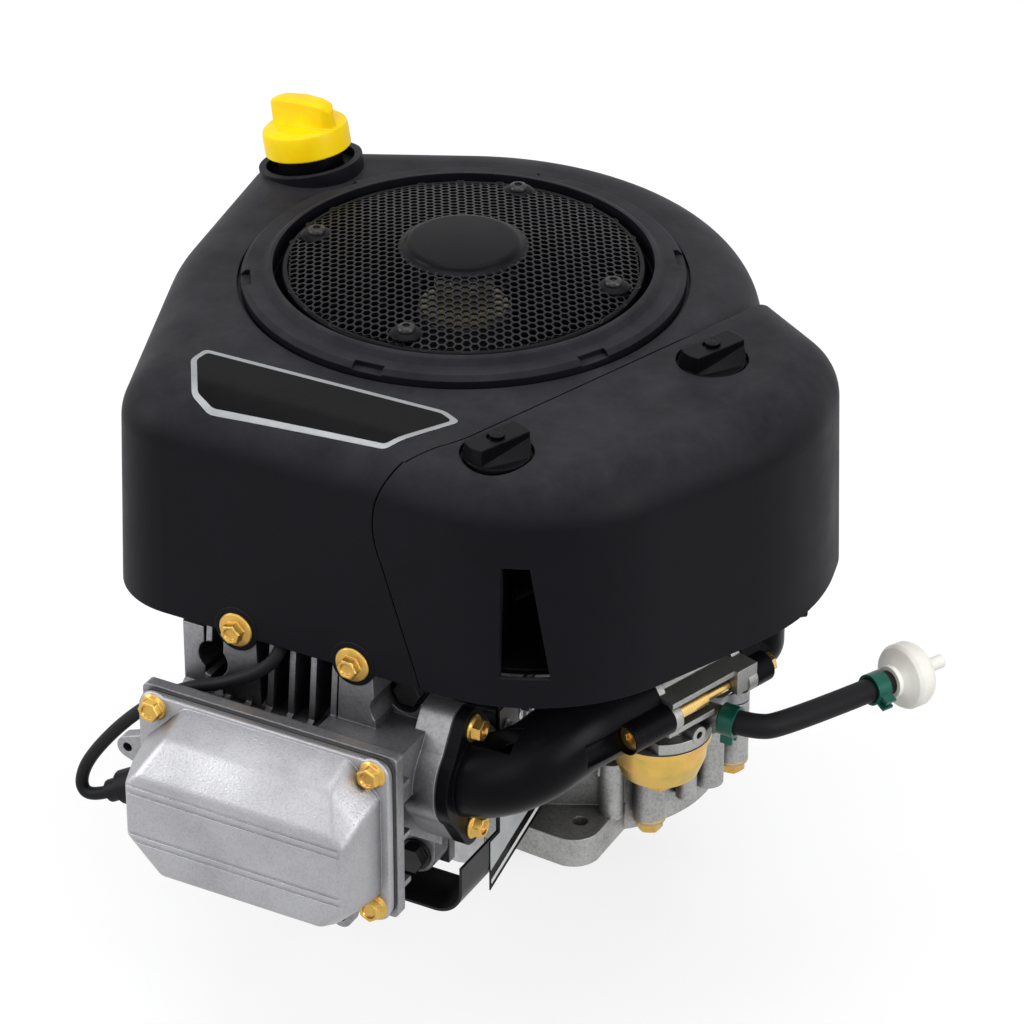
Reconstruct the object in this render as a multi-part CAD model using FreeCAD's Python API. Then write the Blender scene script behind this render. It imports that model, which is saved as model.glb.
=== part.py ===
"""Single-cylinder vertical-shaft petrol engine, as on a ride-on mower.

Frame: origin where the crankshaft axis meets the mounting face, +Z up along the
crankshaft, the cylinder and valve cover towards -Y, the carburettor towards +X.
All lengths are in millimetres.
"""
import FreeCAD
import Part
import math
import os

# ---------------------------------------------------------------- general
CLEAR = 0.3            # clearance round fasteners and between curved faces
RUN_FIT = 0.05         # radial running clearance of shafts
SHEET = 1.5            # sheet metal thickness
SKIN = 2.5             # wall of the moulded covers
PANEL_GAP = 0.9        # visible gap between moulded covers

# ---------------------------------------------------------------- crankshaft
SHAFT_R = 12.7
SHAFT_DROP = 80.0      # power take-off end below the mounting face
KEYWAY_W = 6.35
KEYWAY_DEPTH = 3.2
KEYWAY_LENGTH = 50.0
END_TAP_R = 4.96
END_TAP_DEPTH = 38.0
JOURNAL_R = 17.4
SHOULDER_Z = 166.0     # where the flywheel hub sits
TAPER_R = 12.5
THREAD_R = 9.5
SHAFT_TOP = 272.0

# ---------------------------------------------------------------- sump and crankcase
MOUNT_X = 105.7        # half spacing of the mounting holes
MOUNT_Y = 70.5
MOUNT_HOLE_R = 4.2
LUG_X = 104.0           # centre of the rounded corner of each lug
LUG_Y = 74.5
LUG_R = 14.5
LUG_THICK = 16.5
SUMP_TOP = 48.0
GASKET_T = 0.8
CASE_TOP = 128.0
CASE_R = 96.0          # wall round the crankshaft
CAM_X = 72.0           # centre of the bulge over the camshaft
CAM_Y = 5.0
CAM_R = 68.0
RIM_OUT = 7.3
RIM_T = 9.0
BOSS_R = 8.5
BOSS_BOTTOM = 10.0
CAM_SIDE_ANGLES = (-38.5, 17.0)
AXIS_SIDE_ANGLES = (-110.0, -167.0, 167.0, 116.0, 86.0)
SUMP_BOLT_R = 4.0
SUMP_BOLT_L = 46.0
SEAL_T = 7.0
SEAL_R = 25.0

# ---------------------------------------------------------------- cylinder and head
CYL_X = 5.5
CYL_Z = 80.0
BARREL_R = 50.0
FIN_HALF = 61.0        # half side of the square fins
FIN_T = 2.6
BARREL_FIN_PITCH = 7.2
DECK_Y = -138.0        # joint of cylinder and head
HEAD_GASKET_T = 1.2
HEAD_PLATE_T = 13.0
COVER_FACE_Y = -208.5  # joint of head and valve cover
BOX_HALF_W = 72.0      # rocker box, half width and half height
BOX_HALF_H = 47.0
BOX_DEPTH = 14.5
BOX_FLANGE = 6.5        # flange round the joint face
BOX_RECESS = 6.0        # how far the walls stand back from the flange
BOX_WALL = 5.0
BOX_CORNER_R = 3.0
HEAD_FIN_PITCH = 12.0
HEAD_FIN_T = 3.2
HEAD_FIN_TOP = 149.0
DECK_Z = 119.0         # flat top of the casting beside the fins
HEAD_BOLT_OUT = 50.0
COVER_GASKET_T = 1.5
COVER_RIM_T = 5.0
COVER_INSET = 1.0
COVER_BOLT_W = 62.0
COVER_BOLT_H = 39.0
COVER_SKIN = 3.0

# ---------------------------------------------------------------- cylinder shields
SHIELD_X = 88.0
SHIELD_LEFT_X = -88.0
SHIELD_BOLT_Z = 98.0
SHIELD_Y = (-122.0, -102.0)

# ---------------------------------------------------------------- cowl
COWL_BOTTOM = 152.0
COWL_TOP = 272.0
COWL_R = 152.2         # outside, round the crankshaft
BULGE_R = 34.5         # round the oil filler
SHOULDER_R = 28.0
CORNER_R = 40.0
FRONT_Y = -179.5       # outside of the front wall at the shoulder
DRAFT_OUT = 2.8        # the walls lean out by this much at the bottom
DRAFT_IN = 0.9         # and in by this much at the top plane
WING_Y = -167.0        # the seam runs down the front from here
TAB_Y = -182.4         # outside face of the two bolted tabs
TAB_Z = 155.0          # bolts that hold the front of the cowl
TAB_HALF = 33.0
TAB_R = 12.0
TAB_T = 3.0
TAB_HOLE_R = 3.4
SEAT_R = 118.0
SEAT_T = 6.0
SEAT_DEPTH = 3.0
GUARD_R = 112.4
GUARD_BORE_R = 95.7
GUARD_TOP = 277.4
GUARD_LIP_TOP = 281.0

# ---------------------------------------------------------------- flywheel, fan and screen
FLYWHEEL_R = 104.0
FLYWHEEL_BORE_R = 12.8
RIM_TOP = 205.0
WEB_T = 12.0
HUB_R = 26.0
HUB_TOP = 254.0
RING_GEAR_R = 110.0
RING_GEAR_TEETH = 72
RING_GEAR_H = 9.0
FAN_BLADES = 15
COIL_ANGLE = -108.0    # where the ignition coil stands round the flywheel
COIL_GAP = 0.6
FAN_R = 103.0
FAN_TOP = 250.0
SCREEN_R = 92.0
SCREEN_T = 1.4
SCREEN_DISC_R = 29.0
SCREEN_EDGE_Z = 277.5
SCREEN_SLOPE_Z = 282.0
SCREEN_CENTRE_Z = 293.0
SCREEN_SCREW_R = 79.7
SCREEN_SCREW_ANGLE = 8.3
HOLE_PITCH = 14.0
HOLE_R = 6.4
POST_R = 5.0
POST_TOP = 278.6
SCREW_SEAT = 283.2

# ---------------------------------------------------------------- oil filler
FILLER = FreeCAD.Vector(-130.0, 70.0, 270.0)
FILLER_DIR = FreeCAD.Vector(-0.187, 0.037, 0.982)
COLLAR_R = 27.5
TUBE_R = 17.0
TUBE_BORE_R = 13.5
TUBE_L = 206.0
CAP_R = 22.8
CAP_H = 15.0
CAP_RAISE = 14.5       # top of the tube above the collar's centre
CAP_ANGLE = -12.0      # finger grip, from +X
DIPSTICK_L = 190.0

# ---------------------------------------------------------------- air cleaner
KNOBS = ((98.0, -144.5), (148.0, -16.0))
KNOB_R = 16.5
KNOB_H = 12.5
GRIP_HALF_W = 6.5
GRIP_ANGLE = 68.0
RECESS_R = 18.0
RECESS_Z = 268.0
STEM_R = 4.0
STEM_BOTTOM = 252.0
BASE_Z = 166.0
BASE_T = 3.0
RELEASE_DIR = FreeCAD.Vector(0.94, -0.34, 0.0)
FILTER_H = 62.0

# ---------------------------------------------------------------- carburettor
CARB = FreeCAD.Vector(136.2, -106.0, 110.0)
CARB_ANGLE = -17.5     # bore axis from +Y, about Z
BORE_R = 14.0
STUD_OUT = 22.0
STUD_R = 2.6
SPACER_L = 22.0
BODY_L = 58.0
ELBOW_L = 12.0
DUCT_W = 14.0          # riser to the air cleaner, beyond the elbow's flange
FLANGE_R = 8.0
BOWL_W = 41.0          # bowl centre, along the bore from the spacer face
BOWL_R = 24.5
BOWL_TOP = 85.0
BOWL_H = 25.0
THROTTLE_W = 33.0
CHOKE_W = 68.0
THROTTLE_LEVEL = 26.5  # underside of each lever above the bore axis
CHOKE_LEVEL = 21.0
SHAFT4_R = 4.0
PLATE_T = 1.6

# ---------------------------------------------------------------- intake manifold
EXHAUST_BOLT = 21.0
PORT_Y = -157.0
PORT_Z = 91.0
PAD_X = 84.0
MANIFOLD_R = 21.0
MANIFOLD_BORE_R = 14.5
MANIFOLD_FLANGE_T = 6.5
MANIFOLD_BOLT = 28.7

# ---------------------------------------------------------------- spark plug
PLUG = FreeCAD.Vector(-59.0, -177.0, 60.0)
PLUG_DIR = FreeCAD.Vector(-0.86, -0.06, -0.50).normalize()
BOOT_END = 56.0        # from the plug's seat

# ---------------------------------------------------------------- hose and lead
HOSE_R = 6.35
HOSE_ROUTE = ((177.5, -55.8, 94.0), (194.0, -55.4, 93.2), (206.0, -44.3, 91.7), (233.6, 21.6, 88.2))
FILTER_R = 17.2
FILTER_NIPPLE_R = 3.6
CLAMP_W = 8.5
LEAD_R = 3.4
LEAD_ROUTE = (
    (-44.0, -134.0, 184.0), (-22.0, -150.0, 172.0), (-4.9, -171.0, 153.5), (-4.9, -186.0, 142.0),
    (-31.0, -187.0, 125.0), (-60.0, -187.0, 113.0), (-93.0, -182.0, 83.0), (-120.0, -180.0, 49.0),
    (-127.0, -180.0, 30.0), (-119.8, -181.3, 24.6), (-107.6, -180.4, 31.7))

V = FreeCAD.Vector
X = V(1, 0, 0)
Y = V(0, 1, 0)
Z = V(0, 0, 1)
O = V(0, 0, 0)


# ================================================================ helpers
def save(name, shape):
    """Write one named piece."""
    shape.exportStep("parts/" + name + ".step")


def cyl(r, h, base=O, axis=Z):
    return Part.makeCylinder(r, h, base, axis)


def ring(r_out, r_in, h, base=O, axis=Z):
    return cyl(r_out, h, base, axis).cut(cyl(r_in, h + 2, base - axis * 1.0, axis))


def box(x0, x1, y0, y1, z0, z1):
    return Part.makeBox(x1 - x0, y1 - y0, z1 - z0, V(x0, y0, z0))


def join(shapes):
    """Fuse a list into one clean solid."""
    return shapes[0].multiFuse(shapes[1:]).removeSplitter()


def group(shapes):
    return Part.makeCompound(shapes)


def prism(points, along):
    """Extrude a closed polygon of 3-D points."""
    return Part.Face(Part.makePolygon(list(points) + [points[0]])).extrude(along)


def spin(profile, base=O, axis=Z):
    """Revolve a closed (radius, height) profile about an axis."""
    wire = Part.makePolygon([V(r, 0, h) for r, h in profile] + [V(profile[0][0], 0, profile[0][1])])
    body = Part.Face(wire).revolve(O, Z, 360)
    body.Placement = FreeCAD.Placement(base, FreeCAD.Rotation(Z, axis))
    return body


def turned(shape, angle, centre=O, axis=Z):
    copy = shape.copy()
    copy.rotate(centre, axis, angle)
    return copy


def around(shape, count, first=0.0, centre=O, axis=Z):
    return [turned(shape, first + i * 360.0 / count, centre, axis) for i in range(count)]


def moved(shape, offset):
    copy = shape.copy()
    copy.translate(offset)
    return copy


def belt(circles, inset=0.0):
    """Closed outline in plan of a belt round circles (x, y, r), counter-clockwise."""
    edges = []
    normals = []
    count = len(circles)
    for i in range(count):
        ax, ay, ar = circles[i]
        bx, by, br = circles[(i + 1) % count]
        dist = math.hypot(bx - ax, by - ay)
        normals.append(math.atan2(by - ay, bx - ax) - math.acos((ar - br) / dist))
    for i in range(count):
        cx, cy, r = circles[i]
        r = r - inset
        a0 = normals[i - 1]
        a1 = normals[i]
        while a1 < a0:
            a1 += 2 * math.pi
        spots = [V(cx + r * math.cos(a), cy + r * math.sin(a), 0) for a in (a0, (a0 + a1) / 2, a1)]
        nx, ny, nr = circles[(i + 1) % count]
        nr = nr - inset
        end = V(nx + nr * math.cos(a1), ny + nr * math.sin(a1), 0)
        edges.append(Part.Arc(spots[0], spots[1], spots[2]).toShape())
        edges.append(Part.LineSegment(spots[2], end).toShape())
    return Part.Wire(edges)


def slab(circles, z0, z1, inset=0.0):
    """Upright plate with a belt outline."""
    return moved(Part.Face(belt(circles, inset)).extrude(V(0, 0, z1 - z0)), V(0, 0, z0))


def facing(shape, base, normal, up=Z):
    """Place a plate drawn in XY so its +Z looks along normal and its +Y along up."""
    side = up.cross(normal)
    turn = FreeCAD.Matrix(
        side.x, up.x, normal.x, base.x,
        side.y, up.y, normal.y, base.y,
        side.z, up.z, normal.z, base.z, 0, 0, 0, 1)
    copy = shape.copy()
    copy.Placement = FreeCAD.Placement(turn)
    return copy


def pipe_path(points, reaches=None):
    """Straight runs joined by tangent arcs; reaches sets how far each arc runs from its corner."""
    pts = [V(*p) for p in points]
    edges = []
    start = pts[0]
    for i in range(1, len(pts) - 1):
        before = pts[i] - pts[i - 1]
        after = pts[i + 1] - pts[i]
        turn = before.getAngle(after)
        reach = reaches[i - 1] if reaches else 0.45 * min(before.Length, after.Length)
        into = V(before).normalize()
        out = V(after).normalize()
        a = pts[i] - into * reach
        b = pts[i] + out * reach
        radius = reach / math.tan(turn / 2)
        inner = V(out - into).normalize()
        middle = pts[i] + inner * (radius / math.cos(turn / 2) - radius)
        edges.append(Part.LineSegment(start, a).toShape())
        edges.append(Part.Arc(a, middle, b).toShape())
        start = b
    edges.append(Part.LineSegment(start, pts[-1]).toShape())
    return Part.Wire(edges)


def pipe(points, r, reaches=None):
    """Solid round bar along a route."""
    path = pipe_path(points, reaches)
    first = V(*points[0])
    heading = V(*points[1]) - first
    section = Part.Wire(Part.makeCircle(r, first, heading))
    return path.makePipeShell([section], True, False)


def hexagon(across, h, base=O, axis=Z):
    r = across / math.sqrt(3)
    pts = [V(r * math.cos(i * math.pi / 3), r * math.sin(i * math.pi / 3), 0) for i in range(6)]
    head = prism(pts, V(0, 0, h))
    head.Placement = FreeCAD.Placement(base, FreeCAD.Rotation(Z, axis))
    return head


def bolt(base, axis, r, shank, across, head_h, washer_r):
    """Flange-headed hex bolt: the shank runs from the seat at base against axis."""
    parts = [cyl(r, shank, base - axis * shank, axis), cyl(washer_r, 1.6, base, axis)]
    parts.append(hexagon(across, head_h, base + axis * 1.6, axis))
    return join(parts)


def bolts(spots, axis, r, shank, across, head_h, washer_r):
    return group([bolt(V(*s), axis, r, shank, across, head_h, washer_r) for s in spots])


def polar(cx, cy, r, degrees, z=0.0):
    a = math.radians(degrees)
    return V(cx + r * math.cos(a), cy + r * math.sin(a), z)


os.makedirs("parts", exist_ok=True)

# ================================================================ sump
CASE = ((0.0, 0.0, CASE_R), (CAM_X, CAM_Y, CAM_R))
LUGS = [(sx * MOUNT_X, sy * MOUNT_Y) for sx in (-1, 1) for sy in (-1, 1)]
SUMP_SPOTS = [polar(0, 0, CASE_R + RIM_OUT, a) for a in AXIS_SIDE_ANGLES]
SUMP_SPOTS += [polar(CAM_X, CAM_Y, CAM_R + RIM_OUT, a) for a in CAM_SIDE_ANGLES]

sump = [slab(CASE, 0, SUMP_TOP), slab(CASE, SUMP_TOP - RIM_T, SUMP_TOP, -RIM_OUT)]
for lx, ly in LUGS:
    sx = math.copysign(1, lx)
    sy = math.copysign(1, ly)
    lug = [(sx * 60, sy * 56, 30.0), (sx * LUG_X, sy * LUG_Y, LUG_R)]
    if sx > 0:
        lug.append((97.0, sy * 38, 21.0))
    if sx * sy > 0:
        lug.reverse()
    sump.append(slab(lug, 0, LUG_THICK))
for spot in SUMP_SPOTS:
    sump.append(cyl(BOSS_R, SUMP_TOP - BOSS_BOTTOM, V(spot.x, spot.y, BOSS_BOTTOM)))
for degrees in (-58.0, -66.0, 200.0, 215.0, 232.0):
    rib = box(CASE_R - 4, CASE_R + RIM_OUT - 1, -2.2, 2.2, LUG_THICK - 4, SUMP_TOP - 2)
    sump.append(turned(rib, degrees))
for degrees, r in ((-54.0, 6.5), (-20.0, 5.5), (-6.0, 8.0)):
    spot = polar(CAM_X, CAM_Y, CAM_R + RIM_OUT - 2, degrees, 14)
    sump.append(cyl(r, SUMP_TOP - 14, spot))
sump = join(sump)
for lx, ly in LUGS:
    sump = sump.cut(cyl(MOUNT_HOLE_R, 60, V(lx, ly, -1)))
    sump = sump.cut(cyl(11.5, 60, V(lx, ly, LUG_THICK)))
for spot in SUMP_SPOTS:
    sump = sump.cut(cyl(SUMP_BOLT_R + CLEAR, 60, V(spot.x, spot.y, 0)))
sump = sump.cut(ring(86, 38, 6, V(0, 0, -0.001)).cut(join(around(box(30, 90, -3, 3, -2, 8), 6))))
sump = sump.cut(cyl(JOURNAL_R + RUN_FIT, 60, V(0, 0, -1)))
sump = sump.cut(cyl(SEAL_R + CLEAR, SEAL_T, V(0, 0, 0)))
drain = V(-CASE_R, 0, 26)
sump = sump.fuse(cyl(12, 10, V(-CASE_R - 8, 0, 26), X)).removeSplitter()
sump = sump.cut(cyl(7.0 + CLEAR, 30, V(-CASE_R - 10, 0, 26), X))
save("sump", sump)

sump_bolts = []
for spot in SUMP_SPOTS:
    seat = V(spot.x, spot.y, BOSS_BOTTOM)
    sump_bolts.append(bolt(seat, -Z, SUMP_BOLT_R, SUMP_BOLT_L, 10, 4.6, 6.8))
save("sump_bolts", group(sump_bolts))
plug = join([cyl(7.0, 20, V(-CASE_R - 8, 0, 26), X), cyl(9.5, 2, V(-CASE_R - 10, 0, 26), X),
             box(-CASE_R - 18, -CASE_R - 10, -4.5, 4.5, 21.5, 30.5)])
save("drain_plug", plug)

gasket = slab(CASE, SUMP_TOP, SUMP_TOP + GASKET_T, -RIM_OUT)
gasket = gasket.cut(slab(CASE, SUMP_TOP - 1, SUMP_TOP + 2, 7.0))
for spot in SUMP_SPOTS:
    gasket = gasket.fuse(cyl(BOSS_R, GASKET_T, V(spot.x, spot.y, SUMP_TOP)))
gasket = gasket.removeSplitter()
for spot in SUMP_SPOTS:
    gasket = gasket.cut(cyl(SUMP_BOLT_R + CLEAR, 4, V(spot.x, spot.y, SUMP_TOP - 1)))
save("sump_gasket", gasket)
lower_seal = ring(SEAL_R, JOURNAL_R + CLEAR, SEAL_T, O)
upper_seal = ring(SEAL_R, JOURNAL_R + CLEAR, SEAL_T, V(0, 0, 152 - SEAL_T))
save("crank_seals", group([lower_seal, upper_seal]))

# ================================================================ crankcase with barrel
case_z = SUMP_TOP + GASKET_T
case = [slab(CASE, case_z, case_z + RIM_T, -RIM_OUT), slab(CASE, case_z, 104, 5.0)]
case.append(slab(((0, 0, 78.0), (60, 5, 50.0)), 100, CASE_TOP))
case.append(cyl(38.0, 152 - CASE_TOP + 4, V(0, 0, CASE_TOP - 4)))
for spot in SUMP_SPOTS:
    case.append(cyl(BOSS_R, RIM_T, V(spot.x, spot.y, case_z)))
case.append(cyl(BARREL_R, -DECK_Y - 60, V(CYL_X, -60, CYL_Z), -Y))
y = DECK_Y + 10.0
while y < -92.0:
    case.append(box(CYL_X - FIN_HALF, CYL_X + FIN_HALF, y, y + FIN_T, CYL_Z - 31, CYL_Z + FIN_HALF))
    y += BARREL_FIN_PITCH
case.append(box(CYL_X - FIN_HALF, CYL_X + FIN_HALF, DECK_Y, DECK_Y + 6, CYL_Z - FIN_HALF, CYL_Z + FIN_HALF))
for sx in (-1, 1):
    for sz in (-1, 1):
        spot = V(CYL_X + sx * HEAD_BOLT_OUT, DECK_Y, CYL_Z + sz * HEAD_BOLT_OUT)
        case.append(cyl(10.0, 24, spot, Y))
for sy in SHIELD_Y:
    case.append(cyl(6.5, SHIELD_X - 40, V(40, sy, SHIELD_BOLT_Z), X))
    case.append(cyl(6.5, -30 - SHIELD_LEFT_X, V(SHIELD_LEFT_X, sy, SHIELD_BOLT_Z), X))
tube_foot = FILLER - FILLER_DIR * (TUBE_L + 2)
case.append(cyl(TUBE_R + 5, 30, tube_foot - FILLER_DIR * 10, FILLER_DIR))
case.append(slab(((-60, 42, 22.0), (tube_foot.x + 3, tube_foot.y, 19.0)), case_z, 60))
STARTER = V(-42.0, 128.0, 0.0)
STARTER_SEAT = 144.0
case.append(slab(((-28.0, 84.0, 18.0), (STARTER.x, STARTER.y, 30.0)), STARTER_SEAT, STARTER_SEAT + 6))
case.append(box(-48, -10, 40, 96, 96, STARTER_SEAT + 6))
for a in range(4):
    case.append(cyl(6.0, 36, polar(0, 0, 46, 45 + 90 * a, 122)))
COIL_FEET = [turned(Part.Vertex(126, s, 0), COIL_ANGLE).Point for s in (-10.0, 10.0)]
for foot in COIL_FEET:
    case.append(cyl(6.5, 43, V(foot.x, foot.y, 115)))
case = join(case)
case = case.cut(box(-90, 90, -109, 90, 0, case_z))
case = case.cut(cyl(JOURNAL_R + RUN_FIT, 140, V(0, 0, 40)))
case = case.cut(cyl(SEAL_R + CLEAR, SEAL_T, V(0, 0, 152 - SEAL_T)))
for spot in SUMP_SPOTS:
    case = case.cut(cyl(SUMP_BOLT_R + CLEAR, SUMP_BOLT_L - 38.0, V(spot.x, spot.y, case_z - 0.001)))
for sx in (-1, 1):
    for sz in (-1, 1):
        spot = V(CYL_X + sx * HEAD_BOLT_OUT, DECK_Y - 1, CYL_Z + sz * HEAD_BOLT_OUT)
        case = case.cut(cyl(4.5 + CLEAR, 12, spot, Y))
for sy in SHIELD_Y:
    case = case.cut(cyl(3.0 + CLEAR, 14, V(SHIELD_X - 13, sy, SHIELD_BOLT_Z), X))
    case = case.cut(cyl(3.0 + CLEAR, 14, V(SHIELD_LEFT_X - 1, sy, SHIELD_BOLT_Z), X))
case = case.cut(cyl(TUBE_R + CLEAR, 260, tube_foot, FILLER_DIR))
case = case.cut(cyl(31.0, STARTER_SEAT - 60, V(STARTER.x, STARTER.y, 60)))
case = case.cut(cyl(12.0 + CLEAR, 20, V(STARTER.x, STARTER.y, STARTER_SEAT - 5)))
save("crankcase", case)

# ================================================================ starter and stator
starter = join([cyl(r, top - low, V(STARTER.x, STARTER.y, low)) for r, low, top in (
    (22.0, 72, 79), (27.0, 78, 133), (30.0, 132, STARTER_SEAT), (12.0, 143, 158), (5.0, 157, 182), (10.0, 162, 174))])
starter = starter.fuse(cyl(3.5, 9, V(STARTER.x + 10, STARTER.y + 8, 64))).removeSplitter()
save("starter_motor", starter)
stator = [ring(56, 40, 14, V(0, 0, 170))]
stator += around(box(50, 84, -4, 4, 172, 182), 12)
stator += around(box(60, 78, -7.5, 7.5, 171, 184), 12)
stator += [cyl(7.0, 18, polar(0, 0, 46, 45 + 90 * a, 158)) for a in range(4)]
save("stator", join(stator))

# ================================================================ crankshaft, flywheel and fan
crank = [cyl(SHAFT_R, SHAFT_DROP + 1, V(0, 0, -SHAFT_DROP)), cyl(JOURNAL_R, SHOULDER_Z, O)]
crank += [cyl(TAPER_R, HUB_TOP - SHOULDER_Z, V(0, 0, SHOULDER_Z))]
crank += [cyl(THREAD_R, SHAFT_TOP - HUB_TOP, V(0, 0, HUB_TOP))]
crank = join(crank)
crank = crank.cut(cyl(END_TAP_R, END_TAP_DEPTH, V(0, 0, -SHAFT_DROP)))
keyway = box(SHAFT_R - KEYWAY_DEPTH, SHAFT_R + 2, -KEYWAY_W / 2, KEYWAY_W / 2, -SHAFT_DROP - 1,
             -SHAFT_DROP + KEYWAY_LENGTH)
crank = crank.cut(keyway)
crank = crank.cut(box(TAPER_R - 3, TAPER_R + 2, -2.4, 2.4, 215, 240))
save("crankshaft", crank)
save("flywheel_key", box(TAPER_R - 2.9, TAPER_R + 2.4, -2.3, 2.3, 215.2, 239.8))

web_z = RIM_TOP - WEB_T
wheel = spin(((FLYWHEEL_BORE_R, SHOULDER_Z), (HUB_R, SHOULDER_Z), (HUB_R, web_z), (91, web_z), (91, 167),
              (100, 167), (100, 167 + RING_GEAR_H), (FLYWHEEL_R, 167 + RING_GEAR_H),
              (FLYWHEEL_R, RIM_TOP), (30, RIM_TOP), (HUB_R, RIM_TOP + 4), (HUB_R - 2, HUB_TOP),
              (FLYWHEEL_BORE_R, HUB_TOP)))
wheel = wheel.cut(box(0, TAPER_R + 2.7, -2.5, 2.5, 160, HUB_TOP + 1))
save("flywheel", wheel)

teeth = []
for i in range(RING_GEAR_TEETH):
    for shift, r in ((-0.33, RING_GEAR_R - 5), (-0.17, RING_GEAR_R), (0.17, RING_GEAR_R), (0.33, RING_GEAR_R - 5)):
        teeth.append(polar(0, 0, r, (i + shift) * 360.0 / RING_GEAR_TEETH, 167))
gear = prism(teeth, V(0, 0, RING_GEAR_H)).cut(cyl(100.3, 20, V(0, 0, 160)))
save("ring_gear", gear)

blade_in = polar(0, 0, 52, 0)
blade_mid = polar(0, 0, 80, -13)
blade_out = polar(0, 0, FAN_R - 2, -34)
rim_step = 2.4
blade = Part.Wire([
    Part.Arc(blade_in, blade_mid, blade_out).toShape(),
    Part.LineSegment(blade_out, polar(0, 0, FAN_R - 2, -34 + rim_step)).toShape(),
    Part.Arc(polar(0, 0, FAN_R - 2, -34 + rim_step), polar(0, 0, 80, -13 + 2.2), polar(0, 0, 52, 3.2)).toShape(),
    Part.LineSegment(polar(0, 0, 52, 3.2), blade_in).toShape()])
blade = moved(Part.Face(blade).extrude(V(0, 0, FAN_TOP - RIM_TOP - 2)), V(0, 0, RIM_TOP + 2))
slope = spin(((40, RIM_TOP + 22), (62, FAN_TOP - 6), (62, FAN_TOP + 10), (40, FAN_TOP + 10)))
blade = blade.cut(slope)
POSTS = [polar(0, 0, SCREEN_SCREW_R, SCREEN_SCREW_ANGLE + 90 * i) for i in range(4)]
fan = [ring(FAN_R, 32, 3, V(0, 0, RIM_TOP))] + around(blade, FAN_BLADES)
fan += [cyl(POST_R, POST_TOP - RIM_TOP, V(p.x, p.y, RIM_TOP)) for p in POSTS]
fan = join(fan)
for p in POSTS:
    fan = fan.cut(cyl(2.0 + CLEAR, 14, V(p.x, p.y, 267)))
save("fan", fan)

nut = join([cyl(22.5, 3, V(0, 0, HUB_TOP)), cyl(17.0, 2, V(0, 0, HUB_TOP + 3)),
            hexagon(30, 10, V(0, 0, HUB_TOP + 5))])
save("flywheel_nut", nut.cut(cyl(THREAD_R + CLEAR, 20, V(0, 0, HUB_TOP - 1))))

screen = spin(((SCREEN_R, 273.5), (SCREEN_R, SCREEN_EDGE_Z), (SCREEN_R - 2, SCREEN_EDGE_Z + 1.5),
               (80, SCREEN_SLOPE_Z), (SCREEN_DISC_R + 3, SCREEN_CENTRE_Z - 3), (SCREEN_DISC_R, SCREEN_CENTRE_Z),
               (0, SCREEN_CENTRE_Z), (0, SCREEN_CENTRE_Z - 1.6), (SCREEN_DISC_R - 1, SCREEN_CENTRE_Z - 1.6),
               (SCREEN_DISC_R + 2, SCREEN_CENTRE_Z - 3 - SCREEN_T), (80, SCREEN_SLOPE_Z - SCREEN_T),
               (SCREEN_R - 2.4, SCREEN_EDGE_Z), (SCREEN_R - 1.4, 273.5)))
holes = []
rows = int(SCREEN_R / (HOLE_PITCH * 0.866)) + 1
for row in range(-rows, rows + 1):
    for col in range(-8, 9):
        hx = (col + 0.5 * (row % 2)) * HOLE_PITCH
        hy = row * HOLE_PITCH * 0.866
        near = min(math.hypot(hx - p.x, hy - p.y) for p in POSTS)
        if 39.0 < math.hypot(hx, hy) < 83.0 and near > 13.0:
            holes.append(hexagon(2 * HOLE_R * 0.866, 30, V(hx, hy, 270)))
screen = screen.cut(group(holes))
for p in POSTS:
    screen = screen.fuse(cyl(6.5, SCREW_SEAT - POST_TOP, V(p.x, p.y, POST_TOP))).removeSplitter()
    screen = screen.cut(cyl(2.3, 12, V(p.x, p.y, 275)))
save("rotating_screen", screen)
screws = [[cyl(2.0, 14, V(p.x, p.y, SCREW_SEAT - 13)), cyl(4.6, 2.6, V(p.x, p.y, SCREW_SEAT))] for p in POSTS]
save("screen_screws", group([join(pair) for pair in screws]))

# ================================================================ cylinder head
head_y = DECK_Y - HEAD_GASKET_T
plate_y = head_y - HEAD_PLATE_T
box_y = COVER_FACE_Y + BOX_DEPTH


def upright(half_w, half_h, r, y_near, y_far):
    """Round-cornered block across the cylinder axis, between two Y planes."""
    corners = ((1, -1), (1, 1), (-1, 1), (-1, -1))
    outline = [(sx * (half_w - r), sy * (half_h - r), r) for sx, sy in corners]
    return facing(slab(outline, 0, abs(y_far - y_near)), V(CYL_X, max(y_near, y_far), CYL_Z), -Y)


head = [upright(FIN_HALF, FIN_HALF, 12.0, head_y, plate_y)]
head.append(box(CYL_X - 44, CYL_X + 44, box_y - 1, plate_y, CYL_Z - 34, CYL_Z + 31))
x = CYL_X - 4.5 * HEAD_FIN_PITCH
while x < CYL_X + 20:
    side = [V(x, plate_y + 1, 22), V(x, box_y - 0.5, 36), V(x, box_y - 0.5, 107), V(x, box_y + 14, 113),
            V(x, box_y + 18, HEAD_FIN_TOP), V(x, plate_y + 1, HEAD_FIN_TOP)]
    head.append(prism(side, V(HEAD_FIN_T, 0, 0)))
    x += HEAD_FIN_PITCH
head.append(box(CYL_X + 18, PAD_X - 12, box_y - 1, plate_y, 90, DECK_Z))
head.append(box(CYL_X - 68, CYL_X - 56, -176, plate_y - 1, 84, 146))
post_y = TAB_Y + TAB_T
for s in (-1, 1):
    px = CYL_X + s * TAB_HALF
    foot = [V(px - 11, post_y, 112), V(px - 8.5, post_y, 163), V(px + 8.5, post_y, 163), V(px + 11, post_y, 112)]
    head.append(prism(foot, V(0, 21, 0)))
pad = ((0.0, 0.0, 25.0), (MANIFOLD_BOLT, 0.0, 9.5), (0.0, 0.0, 25.0), (-MANIFOLD_BOLT, 0.0, 9.5))


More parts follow.
